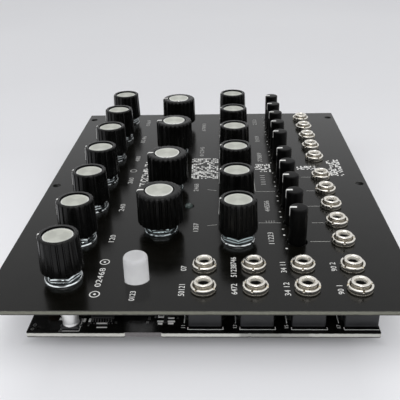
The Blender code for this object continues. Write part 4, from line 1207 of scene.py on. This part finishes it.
cases, collars = Shape(), Shape()
for x in CV_X:
    y = TRIM_Y
    cases.box((x - 4.65, y - 5.25, MZ), (x + 4.65, y + 5.25, MZ + 5.3), 0.3, 0)
    cases.box((x - 4.69, y - 3.6, MZ + 0.8), (x + 4.69, y + 3.6, MZ + 1.5), 0.1, 0)
    for k in (-2.5, 0.0, 2.5):
        cases.box((x + k - 0.25, y - 5.28, BT - 2.7), (x + k + 0.25, y - 5.0, MZ + 1.6), 0.05, 1)
    for sx in (-1, 1):
        cases.box((x + sx * 4.4 - 0.3, y + 2.0, BT - 2.5), (x + sx * 4.4 + 0.25, y + 2.5, MZ + 0.6), 0.05, 1)
    collars.lathe([(1.65, PT - 0.80), (1.80, PT - 0.66), (2.62, PT - 0.62), (2.82, PT - 0.70), (2.93, PT - 0.85),
                   (2.94, PT - 1.6), (2.94, MZ + 5.0), (1.65, MZ + 5.0)], (x, y), 40, ring=True)
piece("trimmer_row_cases", cases.mesh("trimmer_row_cases", ("trim_case", "pads"), 30), nodes=("trimmer_row",))
piece("trimmer_row_collars", collars.mesh("trimmer_row_collars", ("collar",), 30), nodes=("trimmer_row",))

# =============================================================== jack sockets


def jack_case():
    s = Shape()
    top = MZ + 8.3
    s.box((-4.72, -5.35, MZ), (4.42, 4.55, top), 0.22, 0)
    s.box((-4.78, -5.0, MZ + 0.05), (4.47, 4.2, MZ + 0.55), 0.06, 0)
    s.box((-1.6, -5.39, MZ + 1.4), (1.6, -5.2, top - 1.2), 0.06, 0)
    # earth tab, switch tab and tip tab down into the board
    s.box((-0.9, 4.40, BT - 2.6), (0.9, 4.58, top - 1.6), 0.05, 1)
    s.box((-0.7, -5.38, BT - 2.6), (0.7, -5.22, MZ + 2.2), 0.05, 1)
    s.box((-3.4, -2.6, BT - 2.6), (-3.0, -1.4, MZ + 0.8), 0.05, 1)
    return s.mesh("jack_case", ("socket_case", "pads"), 30)


def jack_bushing_mesh():
    s = Shape()
    outer = [(1.92, 2.86), (2.10, 3.02), (2.26, 3.08), (2.54, 3.07), (2.74, 2.98), (2.88, 2.80), (2.91, 2.55)]
    z = 2.40
    while z > 0.7:
        outer += [(2.72, z - 0.10), (2.72, z - 0.16), (2.84, z - 0.32), (2.84, z - 0.40)]
        z -= 0.5
    outer += [(2.84, -2.0), (2.30, -2.0), (2.30, -7.0), (0.0, -7.0)]
    inner = [(0.0, -6.6), (1.80, -6.6), (1.80, 1.70), (1.83, 1.95), (1.83, 2.70)]
    # one closed skin: up the bore, over the lip, down the outside
    notch = math.radians(4.0)
    angles = sorted(set([TAU * k / 56 for k in range(56)]
                        + [(c + e) % TAU for c in (0.0, math.pi) for e in (-notch - 0.02, -notch, notch, notch + 0.02)]))

    def low(r, z, cut):
        return lambda a: (r, PT + z - (cut if abs(math.sin(a)) < math.sin(notch + 0.01) else 0.0))

    cuts = {3.02: 0.05, 3.08: 0.14, 3.07: 0.14, 2.98: 0.05}
    rows = [low(r, z, cuts[z]) if z in cuts else (r, PT + z) for r, z in inner + outer]
    # the thread below the lip wears the painted shade of the dish
    mats = [2, 2, 3, 3, 0] + [0] * 6 + [1] * (len(rows) - 12)
    s.lathe(rows, angles=angles, mat=mats)
    # tip spring seen down the bore
    s.box((-0.35, 0.95, PT - 5.6), (0.35, 1.25, PT - 1.6), 0.08, 0)
    return s.mesh("jack_bushing", ("nickel", "nickel_dish_shade", "bore", "nickel_bore"), 30)


def jack_nut_mesh():
    """A round nut: knurled rim, chamfered edge, dished face, four key slots."""
    s = Shape()
    teeth = 44
    slots = [TAU * k / 4 for k in range(4)]
    half = math.radians(4.6)
    angles = set()
    for k in range(teeth * 2):
        angles.add(round(TAU * k / (teeth * 2), 6))
    for c in slots:
        for e in (-1, 1):
            angles.add(round((c + e * half - e * 0.004) % TAU, 6))
            angles.add(round((c + e * half + e * 0.004) % TAU, 6))
    angles = sorted(angles)

    def in_slot(a):
        return any(abs((a - c + math.pi) % TAU - math.pi) < half for c in slots)

    def side(z, cut=0.09):
        def row(a):
            k = (a / TAU * teeth) % 1.0
            return (3.90 - cut * (0.5 + 0.5 * math.cos(TAU * k)), PT + z)
        return row

    def top(r, z, low):
        return lambda a: (r, PT + (low if in_slot(a) else z))

    rows = [(2.80, PT + 0.55), (2.90, PT + 0.62), (3.06, PT + 0.70), top(3.10, 1.35, 1.28), top(3.14, 1.64, 1.28),
            top(3.20, 1.78, 1.28), top(3.36, 1.87, 1.28), top(3.58, 1.88, 1.28), top(3.74, 1.82, 1.28),
            top(3.86, 1.69, 1.28), lambda a: (3.92, PT + (1.24 if in_slot(a) else 1.52)),
            side(0.90), side(0.62), (3.66, PT + 0.50), (3.66, PT + 0.42), (3.80, PT + 0.33), (3.86, PT + 0.20),
            (3.86, PT + 0.06), (3.80, PT + 0.03), (2.80, PT + 0.03)]
    # painted shade on the dish, the lower side and the foot
    mats = [1, 1, 1, 1] + [0] * 8 + [1, 1] + [2] * 6
    s.lathe(rows, angles=angles, ring=True, mat=mats)
    return s.mesh("jack_nut", ("nickel", "nickel_dish_shade", "nickel_foot_shade"), 28)


case, bushing, nut = jack_case(), jack_bushing_mesh(), jack_nut_mesh()
rnd = random.Random(5)
sockets = [("jack_io_%d" % (k + 1), x, y) for k, (y, x) in enumerate([(y, x) for y in IO_Y for x in IO_X])]
sockets += [("jack_cv_%d" % (k + 1), x, CV_Y) for k, x in enumerate(CV_X)]
for name, x, y in sockets:
    piece(name + "_case", case, at=(x, y), nodes=(name,))
    piece(name + "_bushing", bushing, at=(x, y), nodes=(name,))
    ob = piece(name + "_nut", nut, at=(x, y), nodes=(name,))
    ob.rotation_euler = (0, 0, rnd.uniform(0, TAU / 4))

# ============================================================ button and lamp

s = Shape()
s.lathe([(0, PT + 7.80), (1.6, PT + 7.82), (2.45, PT + 7.86), (2.85, PT + 7.87), (3.20, PT + 7.80), (3.46, PT + 7.62),
         (3.64, PT + 7.35), (3.73, PT + 7.0), (3.76, PT + 6.3), (3.80, PT + 1.0), (3.81, PB - 1.1), (3.65, PB - 1.4),
         (2.9, PB - 1.4), (2.9, PB + 1.2), (1.6, PB + 1.2), (1.6, BT + 4.75), (0, BT + 4.75)], n=64)
piece("button_cap_shell", s.mesh("button_cap_shell", ("button",), 30), "button_body", BUTTON, ("button_cap",))
s = Shape()
s.box((-4.45, -4.45, MZ), (4.45, 4.45, BT + 3.9), 0.3, 0)
s.lathe([(1.95, BT + 4.85), (2.05, BT + 4.98), (3.1, BT + 4.98), (3.3, BT + 4.8), (3.35, BT + 3.5), (1.95, BT + 3.5)],
        n=36, ring=True, mat=0)
for sx in (-1, 1):
    for sy in (-1, 1):
        s.lathe([(0, BT + 4.35), (0.45, BT + 4.30), (0.60, BT + 4.1), (0.60, BT + 3.7), (0, BT + 3.7)],
                (sx * 3.55, sy * 3.55), 16, mat=1)
        s.box((sx * 2.5 - 0.35, sy * 4.45 - 0.12, BT - 2.6), (sx * 2.5 + 0.35, sy * 4.45 + 0.05, MZ + 0.7), 0.04, 1)
piece("button_switch_case", s.mesh("button_switch_case", ("switch", "pads"), 30), at=BUTTON, nodes=("button_switch",))

s = Shape()
s.lathe([(0, PT + 1.09), (0.40, PT + 1.05), (0.78, PT + 0.92), (1.10, PT + 0.70), (1.34, PT + 0.40), (1.47, PT + 0.05),
         (1.49, PT - 0.4), (1.49, PB - 0.6), (1.84, PB - 0.62), (1.84, PB - 1.58), (0, PB - 1.58)], n=40)
piece("status_lamp_lens", s.mesh("status_lamp_lens", ("lens",), 35), at=LAMP, nodes=("status_lamp",))
s = Shape()
for sx in (-1, 1):
    s.box((sx * 1.27 - 0.25, -0.25, BT - 2.6), (sx * 1.27 + 0.25, 0.25, PB - 1.4), 0.05, 0)
piece("status_lamp_legs", s.mesh("status_lamp_legs", ("pads",), 30), at=LAMP, nodes=("status_lamp",))

# ================================================================== the board

pins = []
for xs, y in ((TOP_X, TOP_Y), (BIG_X, BIG_Y), (MID_X, MID_Y)):
    for x in xs:
        pins += [(x + k, y - 5.38, 0.55, 1.05) for k in (-2.5, 0.0, 2.5)]
        pins += [(x + sx * 4.62, y, 0.75, 1.35) for sx in (-1, 1)]
for x in CV_X:
    pins += [(x + k, TRIM_Y - 5.14, 0.5, 0.95) for k in (-2.5, 0.0, 2.5)]
    pins += [(x + sx * 4.4, TRIM_Y + 2.25, 0.5, 0.95) for sx in (-1, 1)]
for _, x, y in sockets:
    pins += [(x, y + 4.49, 0.75, 1.25), (x, y - 5.30, 0.75, 1.2), (x - 3.2, y - 2.0, 0.65, 1.1)]
pins += [(BUTTON[0] + sx * 2.5, BUTTON[1] + sy * 4.48, 0.5, 0.95) for sx in (-1, 1) for sy in (-1, 1)]
pins += [(LAMP[0] + sx * 1.27, LAMP[1], 0.45, 0.85) for sx in (-1, 1)]

shape = rounded(-83.0, -52.4, 83.0, 52.1, 0.6, 4)
turns = [k for k in range(len(shape)) if shape[k][0] < -82.9 and abs(shape[k][1] - shape[k - 1][1]) > 50]
milled = [(-83.0, 23.2), (-82.94, 22.9), (-82.74, 22.6), (-82.74, 11.9), (-82.94, 11.6), (-83.0, 11.3),
          (-83.0, -13.6), (-82.86, -13.9), (-82.86, -14.5), (-83.0, -14.8)]
if shape[turns[0]][1] > shape[turns[0] - 1][1]:
    milled.reverse()
shape = shape[:turns[0]] + milled + shape[turns[0]:]
board = cut_plate("main_board_plate", shape, [(-80.6, 48.9, 0.45), (80.4, 49.2, 1.1), (80.4, -2.0, 1.1)],
                  BB, BT, 0.06, ("board_face", "board_cut", "board_face"), 24)
board.materials.append(M["board_routed"])
for f in board.polygons:
    c = f.center / MM
    if f.material_index == 1 and c.x < -82.0 and 12.2 < c.y < 22.3:
        f.material_index = 3
piece("main_board_plate", board, nodes=("main_board",))

pads, solder = Shape(), Shape()
for x, y, a, r in pins:
    pads.lathe([(0, BT + 0.035), (r * 0.9, BT + 0.035), (r, BT + 0.01), (r, BT - 0.02), (0, BT - 0.02)], (x, y), 14)
    # a wetted cone on the back, its pin end just showing
    solder.lathe([(0, BB + 0.02), (r, BB + 0.02), (r * 1.02, BB - 0.06), (r * 0.78, BB - 0.16), (a * 0.85, BB - 0.45),
                  (a * 0.62, BB - 0.85), (a * 0.5, BB - 1.15), (a * 0.45, BB - 1.42), (a * 0.25, BB - 1.58),
                  (0, BB - 1.62)], (x, y), 12)
piece("main_board_solder", solder.mesh("main_board_solder", ("solder",), 50), nodes=("main_board",))

# --- small parts. A chip part is (x, y, turned, length, width, height, kind).
tiny, legend = Shape(), Shape()
ZB0, ZB1 = BT - 0.005, BT + 0.02


def two_pads(x, y, gap, w, along_x, side=1):
    z0, z1 = (BT - 0.02, BT + 0.04) if side > 0 else (BB - 0.04, BB + 0.02)
    for k in (-1, 1):
        cx, cy = (x + k * gap / 2, y) if along_x else (x, y + k * gap / 2)
        hx, hy = (w * 0.36, w * 0.5) if along_x else (w * 0.5, w * 0.36)
        pads.box((cx - hx, cy - hy, z0), (cx + hx, cy + hy, z1), 0.015, 0)


def chip_part(x, y, along_x, kind, side=1):
    """A two-ended part on two pads, with tinned ends."""
    length, width, height = (1.6, 0.8, 0.45) if kind == "resistor" else (1.6, 0.8, 0.8)
    if kind == "big":
        length, width, height = 3.2, 1.6, 1.1
    z = BT + 0.04 if side > 0 else BB - 0.04
    lo, hi = (z, z + height) if side > 0 else (z - height, z)
    hx, hy = (length / 2, width / 2) if along_x else (width / 2, length / 2)
    ex, ey = (0.28, 0) if along_x else (0, 0.28)
    two_pads(x, y, length * 0.95, width * 1.15, along_x, side)
    body = 1 if kind == "resistor" else 2
    tiny.box((x - hx + ex, y - hy + ey, lo + 0.01), (x + hx - ex, y + hy - ey, hi), 0.04, body)
    for k in (-1, 1):
        if along_x:
            a, b = sorted((x + k * hx, x + k * (hx - 0.32)))
            tiny.box((a, y - hy - 0.01, lo), (b, y + hy + 0.01, hi + 0.01 * side), 0.05, 0)
        else:
            a, b = sorted((y + k * hy, y + k * (hy - 0.32)))
            tiny.box((x - hx - 0.01, a, lo), (x + hx + 0.01, b, hi + 0.01 * side), 0.05, 0)


def package(s, x, y, sx, sy, height, legs_x, legs_y, pitch, side=1, mats=(0, 1), reach=0.9, leg=0.32):
    """A flat resin package with bent leads on the sides asked for."""
    z = BT if side > 0 else BB
    def zz(a, b):
        return (z + a, z + b) if side > 0 else (z - b, z - a)
    lo, hi = zz(0.12, height)
    s.box((x - sx / 2, y - sy / 2, lo), (x + sx / 2, y + sy / 2, hi), 0.14, mats[0])
    mark = zz(height - 0.05, height + 0.012)
    s.lathe([(0, max(mark)), (0.32, max(mark)), (0.32, min(mark)), (0, min(mark))],
            (x - sx / 2 + 0.9, y + sy / 2 - 0.9), 14, mat=mats[0])
    knee, foot = zz(0.35, height * 0.55), zz(0.0, 0.14)
    for k in range(legs_x):                       # leads that leave to -Y and +Y
        cx = x + (k - (legs_x - 1) / 2) * pitch
        for e in (-1, 1):
            a, b = sorted((y + e * sy / 2, y + e * (sy / 2 + reach * 0.45)))
            s.box((cx - leg / 2, a, knee[0]), (cx + leg / 2, b, knee[1]), 0.02, mats[1])
            a, b = sorted((y + e * (sy / 2 + reach * 0.30), y + e * (sy / 2 + reach * 0.48)))
            s.box((cx - leg / 2, a, min(foot[0], knee[0])), (cx + leg / 2, b, max(foot[1], knee[1])), 0.02, mats[1])
            a, b = sorted((y + e * (sy / 2 + reach * 0.32), y + e * (sy / 2 + reach)))
            s.box((cx - leg / 2, a, foot[0]), (cx + leg / 2, b, foot[1]), 0.02, mats[1])
    for k in range(legs_y):                       # leads that leave to -X and +X
        cy = y + (k - (legs_y - 1) / 2) * pitch
        for e in (-1, 1):
            a, b = sorted((x + e * sx / 2, x + e * (sx / 2 + reach * 0.45)))
            s.box((a, cy - leg / 2, knee[0]), (b, cy + leg / 2, knee[1]), 0.02, mats[1])
            a, b = sorted((x + e * (sx / 2 + reach * 0.30), x + e * (sx / 2 + reach * 0.48)))
            s.box((a, cy - leg / 2, min(foot[0], knee[0])), (b, cy + leg / 2, max(foot[1], knee[1])), 0.02, mats[1])
            a, b = sorted((x + e * (sx / 2 + reach * 0.32), x + e * (sx / 2 + reach)))
            s.box((a, cy - leg / 2, foot[0]), (b, cy + leg / 2, foot[1]), 0.02, mats[1])


def outline(x0, y0, x1, y1, w=0.16):
    for a, b in (((x0, y0), (x1, y0)), ((x1, y0), (x1, y1)), ((x1, y1), (x0, y1)), ((x0, y1), (x0, y0))):
        lo = (min(a[0], b[0]) - w / 2, min(a[1], b[1]) - w / 2, ZB0)
        hi = (max(a[0], b[0]) + w / 2, max(a[1], b[1]) + w / 2, ZB1)
        legend.box(lo, hi, 0, 0)


# near edge of the board, as seen below the panel
for y, x, w, h in ((35.70, -77.0, 0.74, 1.6), (34.06, -77.0, 0.70, 1.6), (43.1, -76.4, 0.8, 1.0)):
    tiny.box((x - h / 2, y - w / 2, BT + 0.01), (x + h / 2, y + w / 2, BT + 0.22), 0.06, 5)
for y, x, w, h in ((34.1, -79.2, 0.6, 1.1), (36.3, -79.6, 0.8, 0.8), (42.1, -79.5, 0.7, 0.9), (42.0, -82.0, 0.9, 0.7), (25.96, -78.0, 0.8, 0.9),
                   (27.2, -75.8, 0.8, 0.8), (16.4, -78.0, 0.9, 0.9), (16.0, -76.1, 0.8, 1.4), (14.2, -75.3, 0.6, 1.0),
                   (7.3, -75.8, 0.7, 0.9)):
    tiny.box((x - h / 2, y - w / 2, BT + 0.01), (x + h / 2, y + w / 2, BT + 0.16), 0.06, 6)
for k in range(8):
    tiny.box((-78.75, 33.3 - 0.92 * k, BT + 0.01), (-78.25, 33.6 - 0.92 * k, BT + 0.14), 0.05, 6)
package(tiny, -75.7, 30.3, 2.2, 6.8, 1.1, 0, 8, 0.80, mats=(3, 6), reach=1.0, leg=0.30)
legend.box((-80.58, 28.30, ZB0), (-80.08, 31.47, ZB1), 0, 0)
tiny.box((-79.12, 28.3, BT + 0.02), (-78.46, 31.85, BT + 0.30), 0.05, 3)
legend.box((-79.08, 28.42, BT + 0.28), (-78.50, 31.76, BT + 0.33), 0, 0)
for x, y0, y1 in ((-75.34, 11.64, 13.48), (-77.53, 11.60, 13.42), (-78.63, 11.81, 13.16),
                  (-75.92, 8.38, 10.37), (-77.57, 8.11, 10.39), (-78.53, 8.50, 10.16)):
    tiny.box((x - 0.33, y0, BT + 0.01), (x + 0.33, y1, BT + 0.22), 0.06, 5)
for y in (11.75, 13.30):
    tiny.box((-75.34, y - 0.22, BT + 0.01), (-74.6, y + 0.22, BT + 0.16), 0.05, 5)
tiny.box((-78.5, 10.55, BT + 0.03), (-75.0, 11.45, BT + 0.5), 0.1, 3)
for x, y, r in ((-79.28, 50.36, 0.60), (-81.17, 50.59, 0.52)):
    pads.lathe([(r - 0.26, BT + 0.03), (r, BT + 0.03), (r, BT - 0.02), (r - 0.26, BT - 0.02)], (x, y), 18, ring=True)
outline(CAN[0] - 2.75, CAN[1] - 2.8, CAN[0] + 3.0, CAN[1] + 2.8, 0.22)
for k, (_, x, y) in enumerate(sockets):
    if k >= 8:
        outline(x - 5.65, y - 5.75, x + 4.9, y + 4.7, 0.24)
    else:
        # a line across the front with short ends turned back
        legend.box((x - 5.77, y - 5.85, ZB0), (x - 5.53, y + 4.8, ZB1), 0, 0)
        for side in (y - 5.75, y + 4.7):
            legend.box((x - 5.55, side - 0.11, ZB0), (x - 4.5, side + 0.11, ZB1), 0, 0)
        legend.box((x - 2.6, y + 5.75, ZB0), (x + 2.8, y + 6.05, ZB1), 0, 0)
        v, f = numerals("%d" % (k + 11), x - 4.3, y + 6.2, 1.2, ZB0, ZB1, stretch=1.15)
        legend.add(v, f)

# rows of small parts between the controls, both sides of the board
rnd = random.Random(21)
for y in (48.6, 32.6, 25.3, 5.2, -3.2, -20.6, -38.6):
    x = -64.0
    while x < 79.0:
        near_chip = (abs(x - 14.0) < 8 or abs(x - 40.0) < 7) and abs(y - 1.8) < 8
        near_lamp = abs(x - LAMP[0]) < 3.2 and abs(y - LAMP[1]) < 3
        if not near_chip and not near_lamp and rnd.random() < 0.62:
            chip_part(x, y, rnd.random() < 0.35, rnd.choice(("resistor", "capacitor", "resistor")))
        x += rnd.choice((2.6, 3.0, 3.6, 5.0))
for x in (80.2,):
    for y in (41.0, 37.6, 31.2, 22.4, 18.9, 12.2, -9.6, -14.8, -24.2, -28.0, -41.4):
        chip_part(x, y, rnd.random() < 0.5, rnd.choice(("resistor", "capacitor")))
package(tiny, 55.6, -21.4, 3.9, 5.0, 1.45, 4, 0, 1.27, mats=(3, 0), leg=0.42)
package(tiny, -55.0, 29.0, 3.9, 5.0, 1.45, 4, 0, 1.27, mats=(3, 0), leg=0.42)
package(tiny, -14.0, 29.0, 5.0, 3.9, 1.45, 4, 0, 1.27, mats=(3, 0), leg=0.42)
package(tiny, 78.6, 27.0, 3.9, 5.0, 1.45, 4, 0, 1.27, mats=(3, 0), leg=0.42)

# back: operational amplifiers, regulators, diodes and their small parts
for x in (-70, -44, -18, 30, 56, 74):
    for y in (-33.0, -12.0, 34.5):
        if abs(x) < 20 and y > 20:
            continue
        package(tiny, x, y, 5.0, 3.9, 1.5, 4, 0, 1.27, side=-1, mats=(3, 0), leg=0.42)
        for k in (-2.4, 0.0, 2.4):
            chip_part(x + k, y + 5.6, False, rnd.choice(("resistor", "capacitor")), -1)
            chip_part(x + k, y - 5.6, False, rnd.choice(("resistor", "capacitor")), -1)
package(tiny, -20.0, 27.0, 6.5, 3.5, 1.6, 3, 0, 2.3, side=-1, mats=(3, 0), leg=0.7, reach=1.3)
package(tiny, 20.0, 27.0, 6.5, 3.5, 1.6, 3, 0, 2.3, side=-1, mats=(3, 0), leg=0.7, reach=1.3)
for x in (-10.6, -13.6, 10.6, 13.6):
    chip_part(x, 33.4, False, "big", -1)
tiny.box((11.0 - 1.6, -14.2, BT + 0.05), (11.0 + 1.6, -11.7, BT + 0.85), 0.2, 4)
piece("main_board_small_parts", tiny.mesh("main_board_small_parts",
      ("pads", "resistor", "ceramic", "resin", "crystal", "tin", "lead"), 30), nodes=("main_board",))
piece("main_board_pads", pads.mesh("main_board_pads", ("pads",), 40), nodes=("main_board",))
piece("main_board_legend", legend.mesh("main_board_legend", ("board_ink",), smooth=False), nodes=("main_board",))

# --- the two large chips
for name, (x, y), side, height, legs, pitch in (("processor_chip", (14.0, 1.8), 10.0, 1.5, 16, 0.55),
                                                ("converter_chip", (40.0, 1.8), 7.0, 1.3, 11, 0.55)):
    s = Shape()
    package(s, x, y, side, side, height + 0.28, legs, legs, pitch, reach=0.88, leg=0.24)
    piece(name + "_package", s.mesh(name + "_package", ("resin", "pads"), 30), nodes=(name,))

# --- capacitors: a rolled can with a marked segment, on a base with two tabs


def can_mesh(name, flip):
    s = Shape()
    k = -1 if flip else 1
    z = BB - 0.3 if flip else MZ

    def row(r, h):
        return (r, z + k * h)

    rows = [row(0, 5.32), row(1.9, 5.34), row(2.2, 5.36), row(2.38, 5.28), row(2.46, 5.12), row(2.48, 4.9), row(2.48, 2.1),
            row(2.42, 1.9), row(2.34, 1.65), row(2.34, 1.45), row(2.42, 1.2), row(2.48, 1.0), row(2.48, 0.6), row(0, 0.6)]
    if flip:
        rows = rows[::-1]
    s.lathe(rows, n=48, mat=0)
    zz = sorted((z + k * 0.0, z + k * 0.9))
    s.box((-2.6, -2.6, zz[0]), (2.6, 2.6, zz[1]), 0.25, 1)
    # painted segment on the top of the can
    a0, a1 = math.radians(118), math.radians(242)
    pts = [(2.30 * math.cos(a0 + (a1 - a0) * t / 14), 2.30 * math.sin(a0 + (a1 - a0) * t / 14)) for t in range(15)]
    top = sorted((z + k * 5.30, z + k * 5.375))
    s.plate(pts, top[0], top[1], 1)
    for sy in (-1, 1):
        zz = sorted((z - k * 0.3, z - k * 0.02))
        a, b = sorted((sy * 1.2, sy * 2.62))
        s.box((-0.42, a, zz[0]), (0.42, b, zz[1] + (0.12 if not flip else 0.0)), 0.04, 2)
    return s.mesh(name, ("can", "can_mark", "pads"), 30)


piece("edge_capacitor_can", can_mesh("edge_capacitor_can", False), at=CAN, nodes=("edge_capacitor",))
rear_can = can_mesh("supply_capacitor_can", True)
for name, at in (("supply_capacitor_left", (-52.0, -22.0)), ("supply_capacitor_right", (54.0, -22.0))):
    piece(name + "_can", rear_can, at=at, nodes=(name,))

# --- power header: a ribbed block with ten bent pins
s = Shape()
s.box((-6.48, 28.72, 0.0), (6.48, 31.28, 5.38), 0.18, 0)
for k in range(5):
    x = (k - 2) * 2.54
    for j in range(2):
        z = 5.4 - 2.54 * (0.56 + j)
        s.box((x - 1.05, 31.15, z - 1.05), (x + 1.05, 31.33, z + 1.05), 0.12, 0)
        s.box((x - 0.32, 28.8 - (0.9 + 2.2 * j), z - 0.32), (x + 0.32, 37.28, z + 0.32), 0.08, 1)
        s.box((x - 0.31, 28.72 - (0.9 + 2.2 * j), z - 0.30), (x + 0.31, 28.72 - (0.25 + 2.2 * j), BB + 0.3), 0.06, 1)
for k in range(4):
    x = (k - 1.5) * 2.54
    s.box((x - 0.12, 28.66, 0.3), (x + 0.12, 31.3, 5.1), 0.05, 0)
piece("power_header_block", s.mesh("power_header_block", ("header", "gold"), 30), nodes=("power_header",))
